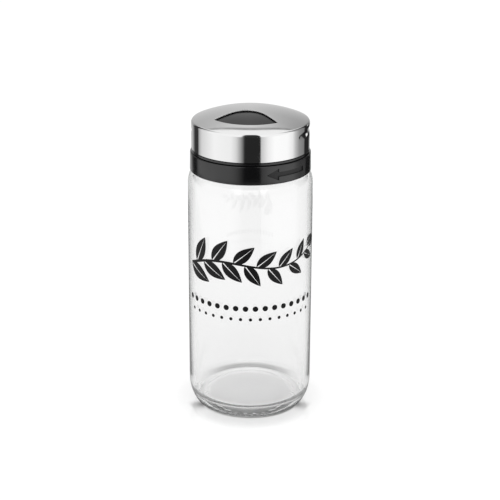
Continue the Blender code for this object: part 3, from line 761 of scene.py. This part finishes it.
def holed_dome(outline, rim_radius, centre_y):
    """For each point of an outline, the point beyond it on a circle about the axis, seen from a centre."""
    centre = Vector((0.0, centre_y))
    rims = []
    for point in outline:
        way = (Vector(point) - centre).normalized()
        along = centre.dot(way)
        rims.append(centre + way * (-along + sqrt(along**2 - centre.length_squared + rim_radius**2)))
    return rims


def dome_row(outline, rims, share, inset, sphere):
    """Row of points on a sphere about the dome's centre, part of the way from an outline to the rim."""
    row = []
    for point, rim in zip(outline, rims):
        start = Vector(point)
        start = start + (rim - start).normalized() * inset
        point = start.lerp(rim, share)
        row.append((point.x, point.y, DOME_CENTRE_Z + sqrt(sphere**2 - point.length_squared)))
    return row


def hole_edge(outline, rims, sphere, thickness, curve):
    """Rows up the rounded edge of a hole in a dome, and the row that leads back to it from below."""
    turn_in = curve * (1 - sqrt(0.5))
    lip = [dome_row(outline, rims, 0.0, inset, sphere - depth) for inset, depth in
           ((0.0, thickness - curve), (0.0, curve), (turn_in, turn_in))]
    return lip, [dome_row(outline, rims, 0.0, turn_in, sphere - thickness + turn_in)]


def half_moon(azimuth):
    """Share of the half-moon's height that is reached at an azimuth, 0 outside it."""
    offset = remainder(azimuth - radians(DENT_AZIMUTH), pi) / radians(DENT_HALF_ANGLE)
    return (1 - offset**2) ** 0.55 if abs(offset) < 1 else 0.0


def wall_rows(azimuths, inwards):
    """Rows down the wall of the cap, with the half-moons pressed in: a steep lip, a scoop that runs out."""
    end = DENT_FOOT_Z + DENT_END
    spacing = (DENT_TOP_Z - DENT_FOOT_Z) / 7
    plans = [(0, step / 6, 0.0) for step in range(1, 7)]
    plans += [(1, step / 6, (step / 6) ** 2 * (3 - step / 3)) for step in range(1, 7)]
    plans += [(2, step / 12, 1 - (step / 12) ** 2 * (3 - step / 6)) for step in range(1, 13)]
    plans += [(3, step / 8, 0.0) for step in range(1, 9)]
    rows = []
    for band, share, depth in plans:
        row = []
        for azimuth in azimuths:
            moon = half_moon(azimuth)
            rise = (DENT_TOP_Z - end - spacing) * moon
            low = end - spacing + (DENT_FOOT_Z - end + spacing) * moon
            lip, deep = end + spacing + DENT_STEP + rise, end + spacing + rise
            levels = (WALL_TOP_Z, lip, deep, low, CAP_Z + CUT_ROUND)
            height = levels[band] + (levels[band + 1] - levels[band]) * share
            row.append(at(azimuth, CAP_RADIUS - inwards - DENT_DEPTH * moon * depth, height))
        rows.append(row)
    return rows


def ring_row(azimuths, radius, height):
    return [at(azimuth, radius, height) for azimuth in azimuths]


def steel_cap(steel, sheared):
    """Drawn shell: dome with the window, rolled edge, wall with the two half-moons, cut edges rounded."""
    outline = sector_outline(WINDOW_HALF_ANGLE, WINDOW_INSET, WINDOW_RADIUS, WINDOW_CORNER, 1)
    rims = holed_dome(outline, DOME_RADIUS * sin(radians(DOME_TURN)), -WINDOW_CENTRE)
    azimuths = [atan2(rim.x, -rim.y) for rim in rims]
    lip, back = hole_edge(outline, rims, DOME_RADIUS, STEEL, CUT_ROUND)

    def skin(inwards):
        sphere = DOME_RADIUS - inwards
        inner_rims = [rim * (sphere / DOME_RADIUS) for rim in rims]
        rows = [dome_row(outline, inner_rims, share, CUT_ROUND, sphere) for share in DOME_SHARES]
        for radius, height in arc(EDGE_CENTRE, WALL_TOP_Z, CAP_EDGE - inwards, 90 - DOME_TURN, 0, 14)[1:]:
            rows.append(ring_row(azimuths, radius, height))
        return rows + wall_rows(azimuths, inwards)

    hem = [ring_row(azimuths, CAP_RADIUS - depth, CAP_Z) for depth in (CUT_ROUND, STEEL - CUT_ROUND)]
    cap = rows_mesh("steel_cap_polished", lip + skin(0.0) + hem + skin(STEEL)[::-1] + back, steel, sheared)
    cap.data.set_sharp_from_angle(angle=CRISP)
    return cap


def hole_tree():
    """Cut rows of countersunk sprinkling holes through the sifter, on arcs about the axis."""
    tree, add, given = new_group("sprinkling_holes", "Plate", (), (
        "Outer Row", "Pitch", "Reach", "Hole Radius", "Sphere", "Sphere Height", "Thickness"), "Body")
    sweep = add(TIMES, given["Reach"], 2.0)
    first = add(MINUS, pi, given["Reach"])
    rows = []
    for number in range(HOLE_ROWS):
        radius = add(TIMES_PLUS, given["Pitch"], -float(number), given["Outer Row"])
        gaps = add(WHOLE, add(OVER, add(TIMES, radius, sweep), given["Pitch"]))
        holes = add(POINTS, add(PLUS, gaps, 1.0), mode="OFFSET")
        angle = add(TIMES_PLUS, add(OVER, add(INDEX), gaps), sweep, first)
        sphere_square, square = (add(TIMES, side, side) for side in (given["Sphere"], radius))
        rise = add(ROOT, add(MINUS, sphere_square, square))
        level = add(PLUS, rise, given["Sphere Height"])
        rows.append(add(MOVE, holes, None, on_circle(add, radius, angle, level)))
    spots = add(JOIN, rows)
    depth = add(TIMES, given["Thickness"], 4.0)
    bore = add("GeometryNodeMeshCylinder", HOLE_SIDES, 1, 1, given["Hole Radius"], depth)
    wide, narrow, drop = (add(TIMES, given["Hole Radius"], share) for share in (1.9, 0.75, -0.45))
    sink = add("GeometryNodeMeshCone", HOLE_SIDES, 1, 1, wide, narrow, given["Hole Radius"])
    bores, sinks = (add(REAL, add(SCATTER, spots, None, tool)) for tool in (bore, sink))
    sunk = add(MOVE, sinks, None, None, add(XYZ, 0.0, 0.0, drop))
    drilled = add(CARVE, given["Plate"], bores)
    flared = add(CARVE, drilled, sunk)
    end_group(add, add("GeometryNodeSetShadeSmooth", flared), given["Finish"])
    return tree


def sifter_plate(gloss_black):
    """Domed plate with its plug, key, pouring hole and sprinkling holes."""
    outline = sector_outline(WINDOW_HALF_ANGLE - POUR_LAP_ANGLE, WINDOW_INSET + POUR_LAP,
                             WINDOW_RADIUS - POUR_LAP, POUR_CORNER, -1)
    rims = holed_dome(outline, TOWER_RADIUS - SIFTER_EDGE, WINDOW_CENTRE)
    azimuths = [atan2(rim.x, -rim.y) for rim in rims]
    lip, back = hole_edge(outline, rims, SIFTER_DOME, SIFTER_THICKNESS, SIFTER_LIP)
    top = [dome_row(outline, rims, share, SIFTER_LIP, SIFTER_DOME) for share in DOME_SHARES]
    side = [ring_row(azimuths, radius, height) for radius, height in
            arc(TOWER_RADIUS - SIFTER_EDGE, top[-1][0][2] - SIFTER_EDGE, SIFTER_EDGE, 60, 0, 3)]
    key_half = KEY_WIDTH / 2 / PLUG_RADIUS
    key_foot = TOWER_TOP_Z - KEY_DEPTH + FIT_GAP
    plug = [
        (TOWER_RADIUS, SIFTER_SEAT_Z),
        (PLUG_RADIUS, SIFTER_SEAT_Z),
        (PLUG_RADIUS, key_foot),
        (PLUG_RADIUS, key_foot - NUDGE),
        (PLUG_RADIUS, PLUG_BEAD_Z + PLUG_BEAD),
        (PLUG_RADIUS + PLUG_BEAD, PLUG_BEAD_Z),
        (PLUG_RADIUS, PLUG_BEAD_Z - PLUG_BEAD),
        (PLUG_RADIUS, PLUG_FOOT_Z + PLUG_EDGE),
        (PLUG_RADIUS - PLUG_EDGE, PLUG_FOOT_Z),
        (PLUG_BORE + PLUG_EDGE, PLUG_FOOT_Z),
        (PLUG_BORE, PLUG_FOOT_Z + PLUG_EDGE),
    ]
    for number, (radius, height) in enumerate(plug):
        row = []
        for azimuth in azimuths:
            on_key = number in (1, 2) and abs(remainder(azimuth - pi, 2 * pi)) < key_half
            row.append(at(azimuth, TOWER_RADIUS - FIT_GAP if on_key else radius, height))
        side.append(row)
    inner_rims = [Vector((sin(azimuth), -cos(azimuth))) * PLUG_BORE for azimuth in azimuths]
    bottom = [dome_row(outline, inner_rims, share, SIFTER_LIP, SIFTER_DOME - SIFTER_THICKNESS)
              for share in DOME_SHARES[::-1]]
    plate = rows_mesh("sifter_plate_gloss", lip + top + side + bottom + back, gloss_black)
    mesh = plate.data
    bpy.data.objects.remove(plate)
    sifter = grow("sifter_plate_gloss", mesh, hole_tree(), outer_row=WINDOW_RADIUS - HOLE_MARGIN,
                  pitch=HOLE_PITCH, reach=radians(HOLE_REACH), hole_radius=HOLE_DIAMETER / 2,
                  sphere=SIFTER_DOME, sphere_height=DOME_CENTRE_Z, thickness=SIFTER_THICKNESS,
                  finish=gloss_black)
    sifter.data.set_sharp_from_angle(angle=radians(32))
    return sifter


def sprig_tree():
    """Leaves along a stem and rows of peppercorns, laid flat, then wrapped on the jar and given thickness."""
    tree, add, given = new_group("sprig_print", "Stem", ("Leaf Count", "Corn Count"), (
        "Radius", "Middle", "Azimuth", "Ink", "Leaf Length", "Leaf Width", "Vein", "Spread", "Stem Width",
        "Corn Radius", "Corn Pitch", "Corn Drop", "Corn Stagger"), "Print")

    # Half a leaf beside its vein, from stalk to tip, and its mirror image.
    blade = add(GRID, 1.0, 1.0, 17, 4)
    flat = add(SPLIT, add(PLACE)).outputs
    along, over = (add(PLUS, flat[way], 0.5, use_clamp=True) for way in ("X", "Y"))
    early = add(POWER, along, 0.8)
    swell = add(LARGER, add(SINE, add(TIMES, early, pi)), 0.0)
    half = add(TIMES, add(POWER, swell, 0.9), given["Leaf Width"])
    vein = add(TIMES, add(MINUS, 1.0, along), given["Vein"])
    inner = add(SMALLER, vein, half)
    side = add(TIMES_PLUS, add(MINUS, half, inner), over, inner)
    length = add(TIMES, along, given["Leaf Length"])
    halves = [add(MOVE, blade, None, add(XYZ, length, painted_limb_shade, 0.0))
              for painted_limb_shade in (side, add(TIMES, side, -1.0))]
    leaf = add(JOIN, [halves[0], add(FLIP, halves[1])])

    # Leaves turn to one side and the other of the stem, smaller towards its tip.
    stem = add("GeometryNodeMeshToCurve", given["Stem"])
    nodes = add("GeometryNodeCurveToPoints", stem, given["Leaf Count"], mode="COUNT")
    way = add(SPLIT, nodes.outputs["Tangent"]).outputs
    slope = add(ANGLE, way["Y"], way["X"])
    number = add(INDEX)
    sign = add(TIMES_PLUS, add(REST, number, 2.0), 2.0, -1.0)
    last = add(MINUS, given["Leaf Count"], 1.0)
    leaning = add(TIMES, sign, add(BELOW, number, last))
    turn = add(PLUS, slope, add(TIMES, leaning, given["Spread"]))
    size = add(RANGE, add(OVER, number, last), 0.0, 1.0, 1.0, 0.62)
    leaves = add(SCATTER, nodes, None, leaf, None, None, add(XYZ, 0.0, 0.0, turn), size)

    # The stem is a strip that tapers to its tip.
    strip = add(GRID, 1.0, 1.0, 81, 2)
    on_strip = add(SPLIT, add(PLACE)).outputs
    strip_along = add(PLUS, on_strip["X"], 0.5, use_clamp=True)
    reach = add("GeometryNodeSampleCurve", stem, mode="FACTOR", use_all_curves=True)
    fill(reach.inputs["Factor"], strip_along)
    strip_way = add(SPLIT, reach.outputs["Tangent"]).outputs
    normal = add(XYZ, add(TIMES, strip_way["Y"], -1.0), strip_way["X"], 0.0)
    taper = add(RANGE, strip_along, 0.0, 1.0, 1.0, 0.45)
    aside = add(SCALE, normal)
    fill(aside.inputs["Scale"], add(TIMES, add(TIMES, on_strip["Y"], given["Stem Width"]), taper))
    stalk = add(MOVE, strip, None, add(SHIFT, reach.outputs["Position"], aside))

    # Peppercorns stand below in two rows, small ones between and under the large.
    corn = add("GeometryNodeMeshCircle", 20, given["Corn Radius"], fill_type="TRIANGLE_FAN")
    corn_points = add(POINTS, given["Corn Count"], mode="OFFSET")
    corn_number = add(INDEX)
    corn_middle = add(TIMES, add(MINUS, given["Corn Count"], 1.0), 0.5)
    corn_x = add(TIMES, add(MINUS, corn_number, corn_middle), given["Corn Pitch"])
    corn_odd = add(REST, corn_number, 2.0)
    corn_low = add(TIMES_PLUS, corn_odd, given["Corn Stagger"], given["Corn Drop"])
    corn_row = add(MOVE, corn_points, None, add(XYZ, corn_x, add(TIMES, corn_low, -1.0), 0.0))
    corn_size = add(TIMES_PLUS, corn_odd, -0.4, 1.0)
    corns = add(SCATTER, corn_row, None, corn, None, None, None, corn_size)

    sheet = add(REAL, add(JOIN, [leaves, stalk, corns]))
    spread_out = add(SPLIT, add(PLACE)).outputs
    angle = add(PLUS, add(OVER, spread_out["X"], given["Radius"]), given["Azimuth"])
    across = add(TIMES, add(SINE, angle), given["Radius"])
    front = add(TIMES, add(COSINE, angle), add(TIMES, given["Radius"], -1.0))
    level = add(PLUS, spread_out["Y"], given["Middle"])
    wrapped = add(MOVE, sheet, None, add(XYZ, across, front, level))
    clean = add(WELD, wrapped, None, 2e-6)
    proud = add("GeometryNodeExtrudeMesh", clean, mode="FACES")
    fill(proud.inputs["Offset Scale"], given["Ink"])
    proud.inputs["Individual"].default_value = False
    closed = add(JOIN, [proud, add(FLIP, clean)])
    end_group(add, add(WELD, closed, None, 1e-6), given["Finish"])
    return tree


def jar_print(enamel):
    """Plain decoration on the front of the glass: a leafy sprig over two rows of peppercorns."""
    mesh = bpy.data.meshes.new("sprig_print_black")
    length, rise, wave, drop, steps = 78, 9, 3.5, 6, 40
    points = []
    for share in (step / steps for step in range(steps + 1)):
        height = rise * share + wave * sin(2 * pi * share) - drop
        points.append(((share - 0.5) * length * MM, height * MM, 0.0))
    mesh.from_pydata(points, [(step, step + 1) for step in range(steps)], [])
    return grow("sprig_print_black", mesh, sprig_tree(), leaf_count=14, corn_count=31,
                radius=JAR_RADIUS - 0.02 * MM, middle=90 * MM, azimuth=radians(10), ink=0.05 * MM,
                leaf_length=17 * MM, leaf_width=3.9 * MM, vein=0.35 * MM, spread=radians(45),
                stem_width=1.5 * MM, corn_radius=1.5 * MM, corn_pitch=2.6 * MM, corn_drop=25 * MM,
                corn_stagger=6 * MM, finish=enamel)


def carry(piece, body, slot, *nodes):
    """Let a piece ride on a body and stand for the nodes it replaces. The slot is not used."""
    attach(piece, body)
    if nodes:
        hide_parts(*nodes)


# Studio

CAMERA_AZIMUTH = 9.5
VIEW_TURN = radians(CAMERA_AZIMUTH)
TO_RIGHT = (cos(VIEW_TURN), sin(VIEW_TURN), 0.0)
TO_FRONT = (sin(VIEW_TURN), -cos(VIEW_TURN), 0.0)

# Azimuths from the camera and brightness of the panels that gloss shows
PANELS = ((-180, 0.48), (180, 0.48), (-148, 0.42), (-134, 0.04), (-119, 0.03), (-116, 0.4), (-106, 0.72),
          (-72, 1.0), (-37, 0.95), (-27, 0.75), (-18, 0.35), (-11, 0.02), (18.5, 0.02), (19.5, 0.6),
          (33, 0.95), (46, 1.1), (74, 1.08), (87, 0.9), (95, 0.55), (106, 0.3), (124, 0.2), (126, 0.02),
          (152, 0.02), (157, 0.42))
PANEL_LIGHT = 1.5
ROOF_LIGHT = 1.42
FILL_LIGHT = 0.9

# Height, as the sine of its angle, and brightness of the back wall
BACK_WALL = ((0.0, 0.77), (0.8, 1.04), (0.2, 0.8), (0.42, 0.8), (0.6, 0.88), (0.72, 1.02))

# Radius in millimetres and depth of the shade painted on the floor round the heel
PAINTED_HEEL_SHADE = ((0.0, 0.0), (40.0, 0.0), (22.5, 0.05), (24.3, 0.65), (28.5, 0.6), (33.0, 0.05))
SHADE_REACH = 40
SHADE_PUSH = 6 * MM
FLOOR_REACH = 6.0
FLOOR_WHITE = 1.08
FLOOR_INDEX = 3.6                   # of refraction, for the mirror image
FLOOR_ROUGHNESS = 0.04
GLOW_DIRECT, GLOW_THROUGH = 0.72, 0.65  # share of the floor's look that is its own light

# Softbox over the camera
SOFTBOX_LIGHT = 1.6
SOFTBOX_SIZE = (0.9, 0.6)
SOFTBOX_RISE = radians(48)
SOFTBOX_AWAY = 0.9
SOFTBOX_AIM = Vector((0.0, 0.0, 0.1))


def grade(ramp, stops):
    """Set the grey stops of a colour ramp, its two ends first."""
    elements = ramp.color_ramp.elements
    for number, (position, level) in enumerate(stops):
        stop = elements[number] if number < 2 else elements.new(position)
        stop.position = position
        stop.color = (level, level, level, 1.0)


def panels(add, turn):
    """Brightness of the light tent at a turn in radians from the camera: white panels with dark gaps."""
    ramp = add(RAMP, add(RANGE, turn, -pi, pi))
    grade(ramp, [(azimuth / 360 + 0.5, level) for azimuth, level in PANELS])
    return add(TIMES, ramp, PANEL_LIGHT)


def bearings(add, place):
    """How far a place or a direction lies to the right of the camera's view, and how far to the front."""
    right, front = (add(DOT, place, way).outputs["Value"] for way in (TO_RIGHT, TO_FRONT))
    return right, front, add(ANGLE, right, front)


def studio_floor():
    """White acrylic sheet: white to the eye, with the jar's shadow, partly cast and partly painted, and a soft
    mirror image of the jar.

    Gloss shows it painted as a light tent would look.
    """
    material = bpy.data.materials.new("white_acrylic_sheet")
    material.use_nodes = True
    material.node_tree.nodes.clear()
    add = partial(add_node, material.node_tree)
    place = add("ShaderNodeTexCoord").outputs["Object"]
    right, front, round_axis = bearings(add, place)
    away = add(LENGTH, place).outputs["Value"]
    along = add(OVER, front, away)
    ray = add("ShaderNodeLightPath").outputs
    direct, through = ray["Is Camera Ray"], ray["Is Transmission Ray"]
    glossy = add(MINUS, ray["Is Glossy Ray"], through, use_clamp=True)

    # Seen through the glass, a painted shade lies on the sheet in a ring round the heel, pushed back as if by the
    # front light.
    pushed = add(SHIFT, place, tuple(SHADE_PUSH * part for part in TO_FRONT))
    ring = add(LENGTH, pushed).outputs["Value"]
    shade = add(RAMP, add(RANGE, ring, 0.0, SHADE_REACH * MM))
    grade(shade, [(radius / SHADE_REACH, level) for radius, level in PAINTED_HEEL_SHADE])
    painted_heel_shade = add(TIMES, shade, add(EASE, along, -1.0, -0.5, 1.0, 0.0))
    # Under the jar the sheet is painted lighter, more at the back than at the front.
    inner = add(EASE, away, 26.5 * MM, 30.5 * MM, 1.0, 0.0)
    tilt = add(RANGE, front, -25 * MM, 25 * MM, 0.9, 0.3)
    bright = add(MINUS, add(TIMES_PLUS, inner, tilt, 0.97), painted_heel_shade)

    # A thin shadow is painted around the foot, deeper on the right. Beside the heel it widens to a soft painted
    # shadow.
    foot = add(EASE, away, 27.0 * MM, 29.0 * MM, 1.0, 0.0)
    painted_foot_shadow = add(TIMES, foot, add(RANGE, right, -26 * MM, 26 * MM, 0.5, 0.9))
    painted_side_shadow = add(RANGE, away, 28 * MM, 36 * MM, 0.75, 0.15)
    for value, start, end in ((away, 36 * MM, 33 * MM), (along, 0.62, 0.38), (along, 0.15, 0.36)):
        painted_side_shadow = add(TIMES, painted_side_shadow, add(EASE, value, start, end))
    open_floor = add(MINUS, 1.0, add(LARGER, painted_foot_shadow, painted_side_shadow))
    plainly = add(TIMES, open_floor, FLOOR_WHITE)

    # For gloss, a wider shadow is painted round the foot, and the panels of the tent are painted on the sheet
    # beyond it.
    nearer = add(PLUS, away, add(RANGE, front, -0.1, 0.0, -0.07, 0.0))
    close_by = add(RANGE, front, -0.25, -0.04, 0.12, 0.6)
    tent = add(MIX, add(EASE, nearer, 0.27, 0.33), None, close_by, panels(add, round_axis))
    tent = add(TIMES, tent, add(EASE, away, 27 * MM, 40 * MM, 0.1, 1.0))

    under = add(MIX, through, None, plainly, bright)
    white = add("ShaderNodeEmission", WHITE, add(MIX, glossy, None, under, tent))
    glow = add(TIMES_PLUS, through, GLOW_THROUGH, add(TIMES, direct, GLOW_DIRECT))
    body = add(BLEND, add(LARGER, glow, glossy), add("ShaderNodeBsdfDiffuse", open_floor), white)
    near = add(TIMES, add(EASE, away, 30 * MM, 47 * MM, 1.0, 0.0), direct)
    mirror = add(TIMES, add("ShaderNodeFresnel", FLOOR_INDEX), add(TIMES, near, open_floor))
    gloss = add("ShaderNodeBsdfGlossy", WHITE, FLOOR_ROUGHNESS)
    add("ShaderNodeOutputMaterial", add(BLEND, mirror, body, gloss))
    mesh = bpy.data.meshes.new("studio_floor")
    corners = ((-1, -1), (1, -1), (1, 1), (-1, 1))
    mesh.from_pydata([(x * FLOOR_REACH, y * FLOOR_REACH, 0.0) for x, y in corners], [], [(0, 1, 2, 3)])
    plain_piece("studio_floor", mesh, material)


def studio_light():
    """Even light from all sides, with a softbox over the camera."""
    world = bpy.data.worlds.new("studio")
    bpy.context.scene.world = world
    world.use_nodes = True
    world.node_tree.nodes.clear()
    add = partial(add_node, world.node_tree)
    way = add("ShaderNodeTexCoord").outputs["Generated"]
    up = add(SPLIT, way).outputs["Z"]
    right, front, round_axis = bearings(add, way)

    # The back wall dims to the sides. Over a dark seam it meets the roof, which slopes down left and right.
    wall = add(RAMP, up)
    grade(wall, BACK_WALL)
    aside = add(SIZE, right)
    tilted = add(TIMES_PLUS, right, -0.35, add(TIMES_PLUS, aside, -0.9, 1.0))
    rise = add(TIMES_PLUS, add(TIMES, right, right), 1.65, up)
    roof = add(EASE, rise, 0.818, 0.832)
    dull = add(TIMES, tilted, add(EASE, rise, 0.785, 0.808, 1.0, 0.45))

    # A bright strip stands low at the back, on the right.
    strip = add(EASE, up, 0.04, 0.09, 1.0, 0.0)
    for part in (add(EASE, right, 0.42, 0.5), add(RANGE, front, -0.79, -0.5, 1.3, 0.7),
                 add(RANGE, front, -0.84, -0.79)):
        strip = add(TIMES, strip, part)
    back = add(TIMES_PLUS, wall, dull, strip)
    ceiling = add(MIX, add(EASE, aside, 0.4, 0.6), None, ROOF_LIGHT, panels(add, round_axis))
    over = add(MIX, roof, None, back, ceiling)

    # The front is open where the camera looks in.
    across = add(OVER, right, add(PLUS, front, 0.35))
    left_edge = add(EASE, across, -0.26, -0.15, 1.0, 0.0)
    sides = add(PLUS, left_edge, add(EASE, across, 0.24, 0.25))
    lit = add(RANGE, sides, 0.0, 1.0, 0.04, 1.5)
    tent = add(MIX, add(EASE, front, -0.06, 0.06), None, over, lit)

    # Through the glass, a dark band lies across the back, under a light grey.
    lower, upper = add(EASE, up, 0.22, 0.3, 0.0, 0.9), add(EASE, up, 0.6, 0.75, 0.0, 0.75)
    rear = add(EASE, front, -0.4, -0.25, -1.0, 0.0)
    backdrop = add(TIMES_PLUS, add(MINUS, lower, upper), rear, 1.0)
    ray = add("ShaderNodeLightPath").outputs
    direct, through = ray["Is Camera Ray"], ray["Is Transmission Ray"]
    shown = add(MIX, direct, None, add(MIX, through, None, tent, backdrop), 1.0)
    sweep, even = (add("ShaderNodeBackground", WHITE, strength) for strength in (shown, FILL_LIGHT))
    seen = add(LARGER, add(LARGER, direct, ray["Is Glossy Ray"]), through)
    add("ShaderNodeOutputWorld", add(BLEND, seen, even, sweep))

    lamp = bpy.data.lights.new("front_softbox", "AREA")
    lamp.shape = "RECTANGLE"
    lamp.size, lamp.size_y = SOFTBOX_SIZE
    lamp.energy = SOFTBOX_LIGHT * pi * lamp.size * lamp.size_y
    softbox = plain_piece("front_softbox", lamp)
    back = Vector(TO_FRONT) * cos(SOFTBOX_RISE) + Vector((0.0, 0.0, sin(SOFTBOX_RISE)))
    softbox.location = SOFTBOX_AIM + back * SOFTBOX_AWAY
    softbox.rotation_euler = (-back).to_track_quat("-Z", "Y").to_euler()
    softbox.visible_camera = False
    softbox.visible_glossy = False


def photo_camera():
    """Camera of the photograph: a little to the right of the window, looking down at twenty degrees."""
    data = bpy.data.cameras.new("photo_camera")
    data.sensor_width = 36.0
    data.lens = 116.7
    camera = plain_piece("photo_camera", data)
    camera.location = (134.7 * MM, -805.1 * MM, 380.2 * MM)
    camera.rotation_euler = (radians(70.175), radians(-0.188), radians(CAMERA_AZIMUTH + 0.071))
    bpy.context.scene.camera = camera


bpy.context.scene.view_settings.view_transform = "Standard"
photo_camera()
studio_floor()
studio_light()

turned_body = turned_tree()
polypropylene = moulded_black("black_polypropylene", "#0B0B0C", 0.14, 1.2)
gloss_abs = moulded_black("gloss_black_abs", "#0B0B0C", 0.06, 2.5, 1.42)
carry(glass_jar(turned_body, flint_glass()), "jar", "clear_glass", "glass_jar")
carry(jar_print(printed_enamel()), "jar", "black_abs")
carry(rim_seal(turned_body, milky_silicone()), "seal", "silicone", "rim_seal")
carry(threaded_collar(turned_body, polypropylene, eroded_black()), "collar", "black_polypropylene",
      "threaded_collar")
carry(sifter_plate(gloss_abs), "collar", "black_abs", "sifter_plate")
carry(turning_ring(turned_body, polypropylene), "cap", "black_polypropylene", "turning_ring")
carry(steel_cap(polished_steel(), sheared_steel()), "cap", "polished_steel", "steel_cap")
